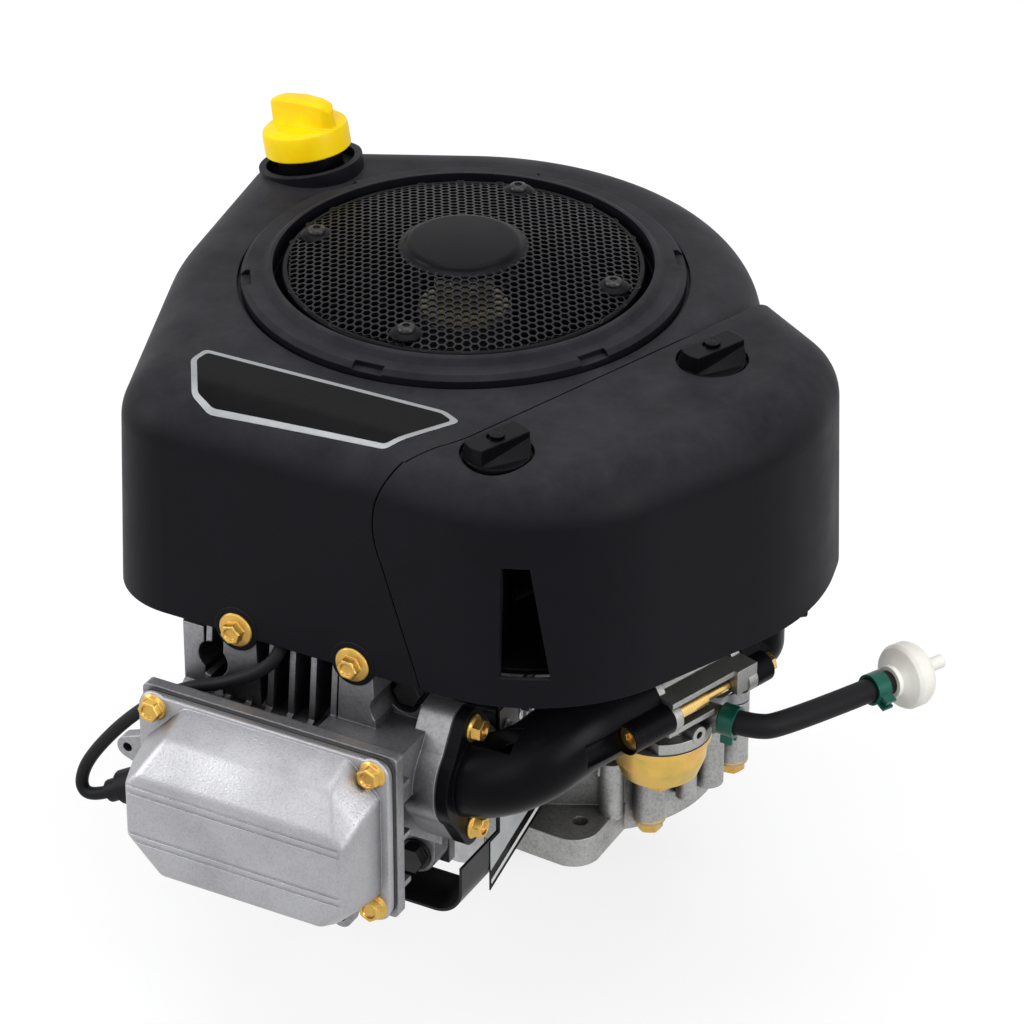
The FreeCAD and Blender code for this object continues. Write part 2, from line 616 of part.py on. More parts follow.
def lens(circle_r, ear_r, out, thick, base, normal):
    """Two-bolt flange: a disc with an ear at each end, ears along Z."""
    disc = Part.Face(Part.Wire(Part.makeCircle(circle_r))).extrude(V(0, 0, thick))
    upper = slab(((0, 0, circle_r - 1.0), (0, out, ear_r)), 0, thick)
    lower = slab(((0, 0, circle_r - 1.0), (0, -out, ear_r)), 0, thick)
    return facing(join([disc, upper, lower]), base, normal)


port = V(PAD_X, PORT_Y, PORT_Z)
head.append(lens(27.0, 10.5, MANIFOLD_BOLT, 18.0, port - X * 18, X))
head.append(cyl(24.0, 60, port - X * 70, X))
head.append(box(30, PAD_X - 8, PORT_Y - 5, PORT_Y + 5, 48, 128))
exhaust = V(CYL_X - 68, -166.5, 94.0)
head.append(cyl(21.0, 50, exhaust, X))
head.append(facing(slab(((-EXHAUST_BOLT, 0, 8.5), (EXHAUST_BOLT, 0, 8.5)), 0, 16), exhaust + X * 16, -X))
head.append(cyl(15.0, 34, PLUG - PLUG_DIR * 34, PLUG_DIR))
head.append(box(-50, -10, -190, plate_y, 36, 70))
head.append(upright(BOX_HALF_W, BOX_HALF_H, BOX_CORNER_R, COVER_FACE_Y + BOX_FLANGE, COVER_FACE_Y))
wall_w = BOX_HALF_W - BOX_RECESS
wall_h = BOX_HALF_H - BOX_RECESS
head.append(upright(wall_w, wall_h, 6.0, box_y, COVER_FACE_Y + 1))
for z_rib in (48.0, 76.0, 106.0):
    head.append(box(CYL_X + wall_w - 1, CYL_X + BOX_HALF_W - 1, COVER_FACE_Y + 2, box_y, z_rib - 1.5, z_rib + 1.5))
LEFT_EAR = V(-78.0, COVER_FACE_Y + 8.0, 84.0)
FOOT_EAR = V(44.0, COVER_FACE_Y + 8.0, 22.0)
head.append(facing(slab(((0, 0, 6.0), (14, 0, 11.0)), 0, 7), LEFT_EAR, -Y))
head.append(facing(slab(((0, 0, 6.0), (0, 14, 10.0)), 0, 7), FOOT_EAR, -Y))
head = join(head)
head = head.cut(box(-120, CYL_X + FIN_HALF + 1, head_y, -100, 0, 200))
inside = upright(wall_w - BOX_WALL, wall_h - BOX_WALL, 4.0, box_y - 4, COVER_FACE_Y - 1)
COVER_SPOTS = [(CYL_X + sx * COVER_BOLT_W, CYL_Z + sz * COVER_BOLT_H) for sx in (-1, 1) for sz in (-1, 1)]
for bx, bz in COVER_SPOTS:
    inside = inside.cut(cyl(8.5, 40, V(bx, COVER_FACE_Y - 2, bz), Y))
head = head.cut(inside)
for bx, bz in COVER_SPOTS:
    head = head.cut(cyl(3.0 + CLEAR, 12.4, V(bx, COVER_FACE_Y - 0.001, bz), Y))
for s in (-1, 1):
    head = head.cut(cyl(3.0 + CLEAR, 18, V(CYL_X + s * TAB_HALF, post_y - 0.001, TAB_Z), Y))
    head = head.cut(cyl(3.5 + CLEAR, 20, V(PAD_X - 19.9, PORT_Y, PORT_Z + s * MANIFOLD_BOLT), X))
    head = head.cut(cyl(3.3, 14, exhaust + Y * (EXHAUST_BOLT * s) - X * 1, X))
head = head.cut(cyl(MANIFOLD_BORE_R, 44, port - X * 43, X))
head = head.cut(cyl(13.0, 34, exhaust - X * 1, X))
for ear in (LEFT_EAR, FOOT_EAR):
    head = head.cut(cyl(2.6, 20, ear - Y * 10, Y))
HEAD_BOLTS = [(CYL_X + sx * HEAD_BOLT_OUT, CYL_Z + sz * HEAD_BOLT_OUT) for sx in (-1, 1) for sz in (-1, 1)]
for bx, bz in HEAD_BOLTS:
    head = head.cut(cyl(4.5 + CLEAR, 30, V(bx, plate_y - 5, bz), Y))
    head = head.cut(cyl(9.5, plate_y - box_y - 2, V(bx, box_y + 2, bz), Y))
head = head.cut(cyl(7.0 + CLEAR, 30, PLUG - PLUG_DIR * 24, PLUG_DIR))
save("cylinder_head", head)

seal = upright(FIN_HALF, FIN_HALF, 12.0, DECK_Y, head_y).cut(cyl(44.0, 8, V(CYL_X, DECK_Y - 4, CYL_Z), Y))
for bx, bz in HEAD_BOLTS:
    seal = seal.cut(cyl(4.5 + CLEAR, 8, V(bx, DECK_Y - 4, bz), Y))
save("head_gasket", seal)
save("head_bolts", bolts([(bx, plate_y, bz) for bx, bz in HEAD_BOLTS], -Y, 4.5, 22, 13, 6, 8.6))

# ================================================================ valve cover
rim_y = COVER_FACE_Y - COVER_GASKET_T
front_y = rim_y - COVER_RIM_T
w = BOX_HALF_W - COVER_INSET
h = BOX_HALF_H - COVER_INSET
seal = upright(w, h, 8.0, COVER_FACE_Y, rim_y).cut(upright(w - 13, h - 13, 4.0, COVER_FACE_Y + 1, rim_y - 1))
for bx, bz in COVER_SPOTS:
    seal = seal.fuse(cyl(7.0, COVER_GASKET_T, V(bx, rim_y, bz), Y)).removeSplitter()
    seal = seal.cut(cyl(3.0 + CLEAR, 8, V(bx, rim_y - 2, bz), Y))
save("valve_cover_gasket", seal)


def octagon(y_at, x0, x1, z0, z1, cuts):
    """Eight-sided outline; cuts are its corners from top left, clockwise."""
    tl, tr, br, bl = cuts
    pts = ((x0 + tl, z1), (x1 - tr, z1), (x1, z1 - tr), (x1, z0 + br),
           (x1 - br, z0), (x0 + bl, z0), (x0, z0 + bl), (x0, z1 - tl))
    return Part.makePolygon([V(px, y_at, pz) for px, pz in pts] + [V(pts[0][0], y_at, pts[0][1])])


def cover_form(skin):
    """Stepped, tapered box of the valve cover, shrunk by the skin thickness."""
    s = skin
    return Part.makeLoft([
        octagon(front_y + 0.01 + s, -61.0 + s, 72.0 - s, 36.5 + s, 124.5 - s, (23.0, 17.5, 13.5, 17.0)),
        octagon(-234.0, -58.5 + s, 70.2 - s, 38.2 + s, 116.5 - s, (19.0, 16.0, 13.5, 18.0)),
        octagon(-246.0 + s, -55.5 + s, 67.5 - s, 43.0 + s, 98.5 - s, (6.0, 6.0, 13.0, 19.0))], True, True)


cover = upright(w, h, 8.0, rim_y, front_y)
cover = join([cover, cover_form(0.0)])
cover = cover.cut(cover_form(COVER_SKIN)).cut(upright(w - 9, h - 9, 4.0, rim_y + 1, front_y - 0.5).cut(
    join([cyl(8.0, 20, V(bx, front_y - 5, bz), Y) for bx, bz in COVER_SPOTS])))
for bx, bz in COVER_SPOTS:
    cover = cover.cut(cyl(8.2, 40, V(bx, front_y - 40, bz), Y))
    cover = cover.cut(cyl(3.0 + CLEAR, 12, V(bx, front_y - 2, bz), Y))
for groove_z in (88.0, 92.0, 60.0, 64.0):
    cover = cover.cut(box(-80, 90, -250, -245.0, groove_z - 0.8, groove_z + 0.8))
save("valve_cover", cover)
save("valve_cover_bolts", bolts([(bx, front_y, bz) for bx, bz in COVER_SPOTS], -Y, 3.0, 18, 10, 4.4, 6.8))

# ================================================================ ignition
ceramic = [cyl(7.0, 20, PLUG - PLUG_DIR * 20, PLUG_DIR), hexagon(20.8, 9, PLUG, PLUG_DIR)]
ceramic += [cyl(6.2, 14, PLUG + PLUG_DIR * 9, PLUG_DIR), cyl(4.6, 20, PLUG + PLUG_DIR * 23, PLUG_DIR)]
save("spark_plug", join(ceramic))
boot = cyl(9.0, 34, PLUG + PLUG_DIR * 13, PLUG_DIR)
boot = join([boot, cyl(6.0, BOOT_END - 47, PLUG + PLUG_DIR * 47, PLUG_DIR)])
boot = boot.cut(cyl(6.2 + CLEAR, 11, PLUG + PLUG_DIR * 12.9, PLUG_DIR))
boot = boot.cut(cyl(4.6 + CLEAR, 20, PLUG + PLUG_DIR * 23, PLUG_DIR))
save("spark_plug_boot", boot)
save("spark_plug_lead", pipe(LEAD_ROUTE, LEAD_R))
leg = FLYWHEEL_R + COIL_GAP
coil = [box(112, 136, -17, 17, 176, 200), box(leg, 114, -17, -9, 182, 194), box(leg, 114, 9, 17, 182, 194)]
coil = [turned(join(coil), COIL_ANGLE)] + [cyl(6.0, 20, V(foot.x, foot.y, 158)) for foot in COIL_FEET]
save("ignition_coil", join(coil))

# ================================================================ cowl
CORNER_Y = FRONT_Y + CORNER_R
BLOWER = ((-69.8, CORNER_Y, CORNER_R), (120.0, CORNER_Y, CORNER_R), (-2.0, 2.0, COWL_R), (-132.0, 69.0, BULGE_R),
          (-2.0, 2.0, COWL_R))
COVER = ((0.0, CORNER_Y, CORNER_R), (86.6, -84.5, 95.0), (96.4, -21.0, 111.4), (157.2, 5.0, 46.0),
         (40.0, 85.2, 40.0))


def dome(outline, inset):
    """Flat-topped moulding with drafted walls and a rounded shoulder, shrunk all round by inset."""
    low = moved(belt(outline, inset - DRAFT_OUT), V(0, 0, COWL_BOTTOM - inset))
    high = moved(belt(outline, inset + DRAFT_IN), V(0, 0, COWL_TOP - inset))
    body = Part.makeLoft([low, high], True, True)
    top = [e for e in body.Edges if all(abs(v.Z - COWL_TOP + inset) < 1e-6 for v in e.Vertexes)]
    return body.makeFillet(SHOULDER_R - inset, top)


def cover_side(shift):
    """Everything on the air-cleaner side of the seam, moved towards the screen by shift."""
    seam = Part.Wire([
        Part.Arc(V(61.0, WING_Y, 0), V(73.0, -152.0, 0), V(80.0, -139.0, 0)).toShape(),
        Part.LineSegment(V(80.0, -139.0, 0), V(139.7, 33.4, 0)).toShape(),
        Part.Arc(V(139.7, 33.4, 0), V(142.6, 60.0, 0), V(140.0, 87.0, 0)).toShape(),
        Part.LineSegment(V(140.0, 87.0, 0), V(146.0, 125.0, 0)).toShape(),
        Part.LineSegment(V(146.0, 125.0, 0), V(270.0, 125.0, 0)).toShape(),
        Part.LineSegment(V(270.0, 125.0, 0), V(270.0, WING_Y, 0)).toShape(),
        Part.LineSegment(V(270.0, WING_Y, 0), V(61.0, WING_Y, 0)).toShape()])
    plan = moved(Part.Face(seam).extrude(V(0, 0, 200)), V(0, 0, 120))
    wing = Part.Wire([
        Part.Arc(V(54.5, -230, 216.0), V(50.0, -230, 241.0), V(61.0, -230, 268.5)).toShape(),
        Part.LineSegment(V(61.0, -230, 268.5), V(61.0, -230, 320)).toShape(),
        Part.LineSegment(V(61.0, -230, 320), V(270, -230, 320)).toShape(),
        Part.LineSegment(V(270, -230, 320), V(270, -230, 120)).toShape(),
        Part.LineSegment(V(270, -230, 120), V(87.6, -230, 120)).toShape(),
        Part.LineSegment(V(87.6, -230, 120), V(54.5, -230, 216.0)).toShape()])
    front = Part.Face(wing).extrude(V(0, WING_Y + 230, 0))
    return moved(plan.fuse(front), V(-shift, 0, 0))


blower = dome(BLOWER, 0.0)
blower = join([blower, cyl(COLLAR_R, 29, FILLER - FILLER_DIR * 24.2, FILLER_DIR)])
blower = blower.cut(cover_side(PANEL_GAP))
blower = blower.cut(dome(BLOWER, SKIN).cut(cover_side(PANEL_GAP + SKIN)))
blower = blower.fuse(ring(SEAT_R, GUARD_BORE_R, SEAT_T, V(0, 0, COWL_TOP - SEAT_T))).removeSplitter()
blower = blower.cut(cyl(GUARD_R + 2, 12, V(0, 0, COWL_TOP - SEAT_DEPTH)))
blower = blower.cut(cyl(GUARD_BORE_R + 0.3, 30, V(0, 0, COWL_TOP - 15)))
blower = blower.cut(cyl(TUBE_R + 0.6, 300, FILLER - FILLER_DIR * 200, FILLER_DIR))
blower = blower.cut(cyl(CAP_R + 0.8, 30, FILLER - FILLER_DIR * 1.0, FILLER_DIR))
for s in (-1, 1):
    spot = V(CYL_X + s * TAB_HALF, TAB_Y, TAB_Z)
    blower = blower.fuse(cyl(TAB_R, TAB_T, spot, Y)).removeSplitter()
    blower = blower.cut(cyl(TAB_HOLE_R, 20, spot - Y * 8, Y))
save("blower_housing", blower)
tab_spots = [(CYL_X + s * TAB_HALF, TAB_Y, TAB_Z) for s in (-1, 1)]
save("cowl_bolts", bolts(tab_spots, -Y, 3.0, 19, 10, 5.0, 8.6))

floor_z = COWL_TOP - SEAT_DEPTH
guard = spin(((GUARD_BORE_R + 0.6, floor_z), (GUARD_R, floor_z), (GUARD_R, GUARD_TOP - 2.4),
              (GUARD_R - 2.4, GUARD_TOP), (102, GUARD_TOP), (99.2, GUARD_LIP_TOP - 0.6), (98, GUARD_LIP_TOP),
              (GUARD_BORE_R + 0.6, GUARD_LIP_TOP)))
notches = around(box(GUARD_R - 5, GUARD_R + 5, -8, 8, GUARD_TOP - 3, GUARD_TOP + 6), 6, 34)
save("debris_ring", guard.cut(group(notches)))

# ================================================================ carburettor axes
A = math.radians(CARB_ANGLE)
W = V(-math.sin(A), math.cos(A), 0)      # along the bore, towards the air cleaner
S = V(math.cos(A), math.sin(A), 0)       # sideways, outwards
CARB_END = SPACER_L + BODY_L + ELBOW_L
NIPPLE_DIR = V(0.75, 0.66, 0.0).normalize()


def at(w_pos, s_pos=0.0, z_pos=0.0):
    return CARB + W * w_pos + S * s_pos + Z * z_pos


# ================================================================ air cleaner
shell = dome(COVER, 0.0)
for kx, ky in KNOBS:
    shell = shell.cut(cyl(RECESS_R, 30, V(kx, ky, RECESS_Z)))
hollow = dome(COVER, SKIN)
for kx, ky in KNOBS:
    hollow = hollow.cut(cyl(RECESS_R + SKIN, 30, V(kx, ky, RECESS_Z - SKIN)))
shell = shell.cut(hollow).common(cover_side(0.0))
for kx, ky in KNOBS:
    shell = shell.cut(cyl(STEM_R + 0.4, 60, V(kx, ky, 230)))
vent = [V(116.5, -240, 168), V(139, -240, 168), V(129.5, -240, 229), V(116.5, -240, 229)]
shell = shell.cut(prism(vent, V(0, 90, 0)))
save("air_cleaner_cover", shell)

plan = slab(COVER, BASE_Z, BASE_Z + BASE_T, SKIN + 3.0)
base = plan.common(moved(cover_side(0.0), V(2.5, 0, 0)))
KNOB_POSTS = []
for kx, ky in KNOBS:
    post = cyl(9.0, 262 - BASE_Z, V(kx, ky, BASE_Z))
    slot = prism([V(kx, ky, 0) + RELEASE_DIR * a + V(0.34, 0.94, 0) * b
                  for a, b in ((-5, -4.8), (30, -4.8), (30, 4.8), (-5, 4.8))], V(0, 0, 30))
    KNOB_POSTS.append(post.cut(moved(slot, V(0, 0, 248))))
base = join([base] + KNOB_POSTS)
DUCT = V(at(CARB_END + DUCT_W).x, at(CARB_END + DUCT_W).y, BASE_Z)
base = base.fuse(cyl(BORE_R + 3, 14, DUCT)).removeSplitter()
base = base.cut(cyl(BORE_R, 60, DUCT - Z * 30))
save("air_cleaner_base", base)
FILTER_C = ((118.0, -104.0, 16.0), (150.0, -92.0, 16.0), (172.0, -30.0, 16.0), (172.0, 20.0, 14.0), (160.0, 22.0, 9.0))
paper = slab(FILTER_C, BASE_Z + BASE_T, BASE_Z + BASE_T + FILTER_H, 8.0)
foam = slab(FILTER_C, BASE_Z + BASE_T, BASE_Z + BASE_T + FILTER_H - 4).cut(
    slab(FILTER_C, BASE_Z, BASE_Z + 100, 8.0 - CLEAR))
for piece in ("air_filter", "pre_cleaner"):
    body = paper if piece == "air_filter" else foam
    for kx, ky in KNOBS:
        body = body.cut(cyl(10.0, 120, V(kx, ky, BASE_Z - 5)))
    save(piece, body.cut(cyl(BORE_R + 4, 18, DUCT)))

for name, (kx, ky) in zip(("cover_knob_front", "cover_knob_rear"), KNOBS):
    knob = cyl(KNOB_R, 3.4, V(kx, ky, RECESS_Z))
    grip = box(kx - KNOB_R, kx + KNOB_R, ky - GRIP_HALF_W, ky + GRIP_HALF_W, RECESS_Z, RECESS_Z + KNOB_H)
    webs = []
    for turn in (0, 180):
        near = [V(kx - 14, ky - 6, RECESS_Z + 3), V(kx - 14, ky - 9, RECESS_Z + 3), V(kx - 14, ky - 6, RECESS_Z + 4)]
        far = [V(kx + 15, ky - 6, RECESS_Z + 3), V(kx + 15, ky - 15, RECESS_Z + 3), V(kx + 15, ky - 6, RECESS_Z + 9.5)]
        web = Part.makeLoft([Part.makePolygon(p + [p[0]]) for p in (near, far)], True, True)
        webs.append(turned(web, turn, V(kx, ky, 0)))
    grip = join([grip] + webs).common(cyl(KNOB_R - 0.2, 30, V(kx, ky, RECESS_Z)))
    knob = join([knob, grip, cyl(STEM_R, 30, V(kx, ky, STEM_BOTTOM))])
    knob = knob.cut(ring(4.4, 2.2, 3, V(kx - 1, ky, RECESS_Z + KNOB_H - 1.6)))
    save(name, turned(knob, GRIP_ANGLE, V(kx, ky, 0)))

# ================================================================ oil filler
tube_start = FILLER - FILLER_DIR * TUBE_L
MOUTH = FILLER + FILLER_DIR * CAP_RAISE
tube = ring(TUBE_R, TUBE_BORE_R, TUBE_L + CAP_RAISE, tube_start, FILLER_DIR)
save("oil_fill_tube", tube)
seal = ring(TUBE_R, TUBE_BORE_R - 1, 2.5, MOUTH, FILLER_DIR)
save("oil_cap_seal", seal)
skirt = cyl(CAP_R, CAP_H, MOUTH - FILLER_DIR * 3.5, FILLER_DIR)
skirt = skirt.makeFillet(4.0, [max(skirt.Edges, key=lambda e: e.BoundBox.ZMin)])
skirt = skirt.cut(cyl(TUBE_R + 1.0, 6.3, MOUTH - FILLER_DIR * 3.6, FILLER_DIR))
side = Part.Wire([
    Part.LineSegment(V(-17, 0, -4), V(-20.5, 0, 12)).toShape(),
    Part.Arc(V(-20.5, 0, 12), V(0, 0, 15), V(20, 0, 12)).toShape(),
    Part.LineSegment(V(20, 0, 12), V(22, 0, -4)).toShape(),
    Part.LineSegment(V(22, 0, -4), V(-17, 0, -4)).toShape()])
grip = moved(Part.Face(side).extrude(V(0, 11, 0)), V(0, -5.5, 0))
grip = turned(grip, CAP_ANGLE)
grip.Placement = FreeCAD.Placement(MOUTH + FILLER_DIR * (CAP_H - 4), FreeCAD.Rotation(Z, FILLER_DIR)).multiply(
    grip.Placement)
save("oil_cap", join([skirt, grip]))
stick = [cyl(5.0, 10, MOUTH - FILLER_DIR * 7.3, FILLER_DIR)]
stick.append(cyl(2.2, DIPSTICK_L, MOUTH - FILLER_DIR * DIPSTICK_L, FILLER_DIR))
save("dipstick", join(stick))

# ================================================================ carburettor
def carb_flange(w_pos, thick, centre_r=20.0):
    plate = slab(((-STUD_OUT, 0, FLANGE_R), (STUD_OUT, 0, FLANGE_R)), 0, thick)
    disc = cyl(centre_r, thick)
    return facing(join([plate, disc]), at(w_pos), W)


def studded(shape, w_pos, length):
    for s in (-1, 1):
        shape = shape.cut(cyl(STUD_R + CLEAR, length + 2, at(w_pos - 1, s * STUD_OUT), W))
    return shape.cut(cyl(BORE_R, length + 2, at(w_pos - 1), W))


save("carburetor_spacer", studded(carb_flange(0, SPACER_L, 21.0), 0, SPACER_L))
body_w = SPACER_L
body = [carb_flange(body_w, 5), carb_flange(body_w + BODY_L - 6, 6), cyl(17.5, BODY_L, at(body_w), W)]


def bar(w0, w1, s0, s1, z0, z1):
    """Block in the carburettor's own directions."""
    return prism([at(w0, s0, z0), at(w1, s0, z0), at(w1, s1, z0), at(w0, s1, z0)], V(0, 0, z1 - z0))


body += [bar(body_w, body_w + BODY_L, 6, 27, 7.5, 10.5), bar(body_w, body_w + 32, 6, 25, -10.5, -7.5)]
body += [bar(body_w + BODY_L - 14, body_w + BODY_L, 6, 29, -3, 10.5)]
body += [cyl(BOWL_R + 1.5, 6, V(at(BOWL_W).x, at(BOWL_W).y, BOWL_TOP + 1.0))]
body += [cyl(19.0, 18, V(at(BOWL_W).x, at(BOWL_W).y, BOWL_TOP + 4.0))]
inlet = V(*HOSE_ROUTE[0])
body += [cyl(6.2, 27.6, V(inlet.x - 28, inlet.y, inlet.z), X)]
for w_pos, level in ((THROTTLE_W, THROTTLE_LEVEL), (CHOKE_W, CHOKE_LEVEL)):
    body.append(cyl(7.0, level - CLEAR, at(w_pos), Z))
body.append(cyl(4.5, 26.5, at(BOWL_W + 1, 0, -17), S))
body = studded(join(body).cut(bar(0, body_w, -40, 40, -30, 0)), body_w, BODY_L)
for w_pos in (THROTTLE_W, CHOKE_W):
    body = body.cut(cyl(SHAFT4_R + RUN_FIT, 60, at(w_pos, 0, -17), Z))
body = body.cut(cyl(2.0, 12, at(BOWL_W + 1, 20, -17), S))
save("carburetor_body", body)
elbow_w = body_w + BODY_L
turn_at = V(DUCT.x, DUCT.y, CARB.z)
elbow = [carb_flange(elbow_w, ELBOW_L, 21.0), cyl(17.0, DUCT_W + 1, at(CARB_END - 1), W), Part.makeSphere(17.0, turn_at)]
elbow += [cyl(17.0, BASE_Z - CARB.z, turn_at)]
elbow = studded(join(elbow), elbow_w, ELBOW_L)
elbow = elbow.cut(cyl(BORE_R, DUCT_W + 1, at(CARB_END - 1), W)).cut(Part.makeSphere(BORE_R, turn_at))
elbow = elbow.cut(cyl(BORE_R, 100, turn_at))
side_port = V(DUCT.x, DUCT.y, 125)
nipple = [cyl(4.0, 27, side_port, NIPPLE_DIR), cyl(5.5, 9, side_port + NIPPLE_DIR * 19, NIPPLE_DIR)]
elbow = elbow.fuse(join(nipple).cut(cyl(16.0, 60, V(DUCT.x, DUCT.y, 100)))).removeSplitter()
save("intake_elbow", elbow)
studs = []
for s in (-1, 1):
    end = elbow_w + ELBOW_L
    stud = [cyl(STUD_R, end + 8, at(-2, s * STUD_OUT), W), cyl(6.6, 3.0, at(-3.0, s * STUD_OUT), W),
            cyl(4.1, 20, at(body_w + 7, s * STUD_OUT), W),
            hexagon(9, 5, at(end, s * STUD_OUT), W)]
    studs.append(join(stud).cut(hexagon(5, 2.5, at(-3.1, s * STUD_OUT), W)))
save("carburetor_studs", group(studs))

centre = at(BOWL_W)
bowl = spin(((0, BOWL_TOP - BOWL_H - 3), (10, BOWL_TOP - BOWL_H - 3), (20, BOWL_TOP - BOWL_H + 2),
             (BOWL_R - 1, BOWL_TOP - 14), (BOWL_R, BOWL_TOP - 3), (BOWL_R + 1.5, BOWL_TOP - 3),
             (BOWL_R + 1.5, BOWL_TOP), (BOWL_R - 1.2, BOWL_TOP), (BOWL_R - 2.2, BOWL_TOP - 14),
             (19, BOWL_TOP - BOWL_H + 3.2), (9.6, BOWL_TOP - BOWL_H - 1.6), (0, BOWL_TOP - BOWL_H - 1.6)),
            V(centre.x, centre.y, 0))
bowl = bowl.cut(cyl(3.3, 10, V(centre.x, centre.y, BOWL_TOP - BOWL_H - 5)))
save("float_bowl", bowl)
seal = ring(BOWL_R + 1.5, BOWL_R - 2.5, 1.0, V(centre.x, centre.y, BOWL_TOP))
save("bowl_gasket", seal)
low = BOWL_TOP - BOWL_H - 3
nut = join([cyl(3.0, 27.5, V(centre.x, centre.y, low)), hexagon(12, 6, V(centre.x, centre.y, low - 6))])
nut = nut.fuse(cyl(8.0, 20, V(centre.x, centre.y, low + 5.7))).removeSplitter()
save("bowl_nut", nut)

for name, w_pos, level in (("throttle_shaft", THROTTLE_W, THROTTLE_LEVEL), ("choke_shaft", CHOKE_W, CHOKE_LEVEL)):
    spindle = cyl(SHAFT4_R, level + 17.5, at(w_pos, 0, -16), Z)
    plate = facing(cyl(BORE_R - 0.5, PLATE_T), at(w_pos - PLATE_T / 2), W)
    spindle = join([spindle, plate])
    arm = slab(((0, 0, 8.5), (21, 0, 5.0)), 0, 5)
    arm = arm.cut(cyl(2.0, 9, V(21, 0, -1)))
    arm = turned(arm, CARB_ANGLE if name == "throttle_shaft" else CARB_ANGLE - 50)
    arm = arm.cut(cyl(SHAFT4_R + CLEAR, 9, V(0, 0, -1)))
    save(name, spindle)
    save(name.replace("shaft", "lever"), moved(arm, at(w_pos, 0, level)))

# ================================================================ intake manifold
GASKET_X = 0.8
plate = lens(27.0, 10.5, MANIFOLD_BOLT, GASKET_X, port, X).cut(cyl(MANIFOLD_BORE_R, 8, port - X * 4, X))
flange = lens(27.0, 10.5, MANIFOLD_BOLT, MANIFOLD_FLANGE_T, port + X * GASKET_X, X)
for s in (-1, 1):
    hole = cyl(3.5 + CLEAR, 30, port + Z * (s * MANIFOLD_BOLT) - X * 10, X)
    plate = plate.cut(hole)
    flange = flange.cut(hole)
save("manifold_gasket", plate)
start = port + X * (GASKET_X + 3)
route = (tuple(start), (114.0, PORT_Y, 97.5), tuple(at(-22.0)), tuple(at(0.0)))
runner = pipe(route, MANIFOLD_R, (21.0, 10.0))
face = carb_flange(-6, 6, MANIFOLD_R)
manifold = join([flange, runner, face.cut(cyl(7.0, 8, at(-7, STUD_OUT), W)).cut(cyl(7.0, 8, at(-7, -STUD_OUT), W))])
for s in (-1, 1):
    manifold = manifold.cut(cyl(8.0, 24, port + Z * (s * MANIFOLD_BOLT) + X * (GASKET_X + MANIFOLD_FLANGE_T), X))
    manifold = manifold.cut(cyl(7.2, 30, at(-30, s * STUD_OUT), W))
manifold = manifold.cut(pipe(route, MANIFOLD_BORE_R, (21.0, 10.0))).cut(cyl(MANIFOLD_BORE_R, 12, port - X * 2, X))
manifold = manifold.cut(box(port.x - 30, port.x + GASKET_X, port.y - 50, port.y + 50, port.z - 50, port.z + 50))
save("intake_manifold", manifold)
spots = [(PAD_X + GASKET_X + MANIFOLD_FLANGE_T, PORT_Y, PORT_Z + s * MANIFOLD_BOLT) for s in (-1, 1)]
save("manifold_bolts", bolts(spots, X, 3.5, 24, 10, 5.0, 7.0))

# ================================================================ cylinder shields
bend = 16.0
half = SHIELD_X + SHEET
wrap = ((-half + bend, 10 + bend, bend), (half - bend, 10 + bend, bend), (half - bend, 200, bend),
        (-half + bend, 200, bend))
shield = slab(wrap, 0, 76).cut(slab(wrap, -1, 77, SHEET))
shield = facing(shield, V(0, -90, 0), -Y)
away = [V(-120, -139, -10), V(-120, -139, 10.5), V(-120, -60, 34.0), V(-120, -60, -10)]
shield = shield.cut(prism(away, V(240, 0, 0)))
shield = shield.cut(box(70, 100, -200, PORT_Y + 29, 40, 260)).cut(box(70, 100, -200, 0, 116, 260))
shield = shield.cut(box(-100, 80, -200, 0, 148, 260)).cut(box(-100, -70, -200, -134, 26, 260))
for sy in SHIELD_Y:
    shield = shield.cut(cyl(3.0 + CLEAR, 220, V(-110, sy, SHIELD_BOLT_Z), X))
save("cylinder_shield", shield)
screws = [bolt(V(SHIELD_X + SHEET, sy, SHIELD_BOLT_Z), X, 3.0, 12, 8, 3.0, 6.0) for sy in SHIELD_Y]
screws += [bolt(V(SHIELD_LEFT_X - SHEET, sy, SHIELD_BOLT_Z), -X, 3.0, 12, 8, 3.0, 6.0) for sy in SHIELD_Y]
save("shield_bolts", group(screws))

# ================================================================ fuel hose and filter
save("fuel_hose", pipe(HOSE_ROUTE, HOSE_R))
hose_start = V(*HOSE_ROUTE[0])
hose_end = V(*HOSE_ROUTE[-1])
first_run = (V(*HOSE_ROUTE[1]) - hose_start).normalize()
last_run = (hose_end - V(*HOSE_ROUTE[-2])).normalize()


def clamp(base, axis):
    """Spring band with two lifted ears."""
    band = ring(HOSE_R + 1.9, HOSE_R + CLEAR, CLAMP_W)
    ears = [box(HOSE_R + 1, HOSE_R + 6, b, b + 1.6, 1, CLAMP_W - 1) for b in (-3.4, 1.8)]
    body = join([band] + ears)
    body.Placement = FreeCAD.Placement(base, FreeCAD.Rotation(Z, axis))
    return body


save("hose_clamps", group([clamp(hose_start + first_run * 0.3, first_run),
                           clamp(hose_end - last_run * (CLAMP_W + 5), last_run)]))
fuel_filter = spin(((0, 0), (8.5, 0), (8.5, 2.5), (11.5, 4.5), (16, 7), (FILTER_R, 9), (FILTER_R, 15.5), (15.8, 18),
                    (10.5, 21), (5.5, 24.5), (FILTER_NIPPLE_R, 26), (FILTER_NIPPLE_R, 36), (0, 36)),
                   hose_end, last_run)
save("fuel_filter", fuel_filter)
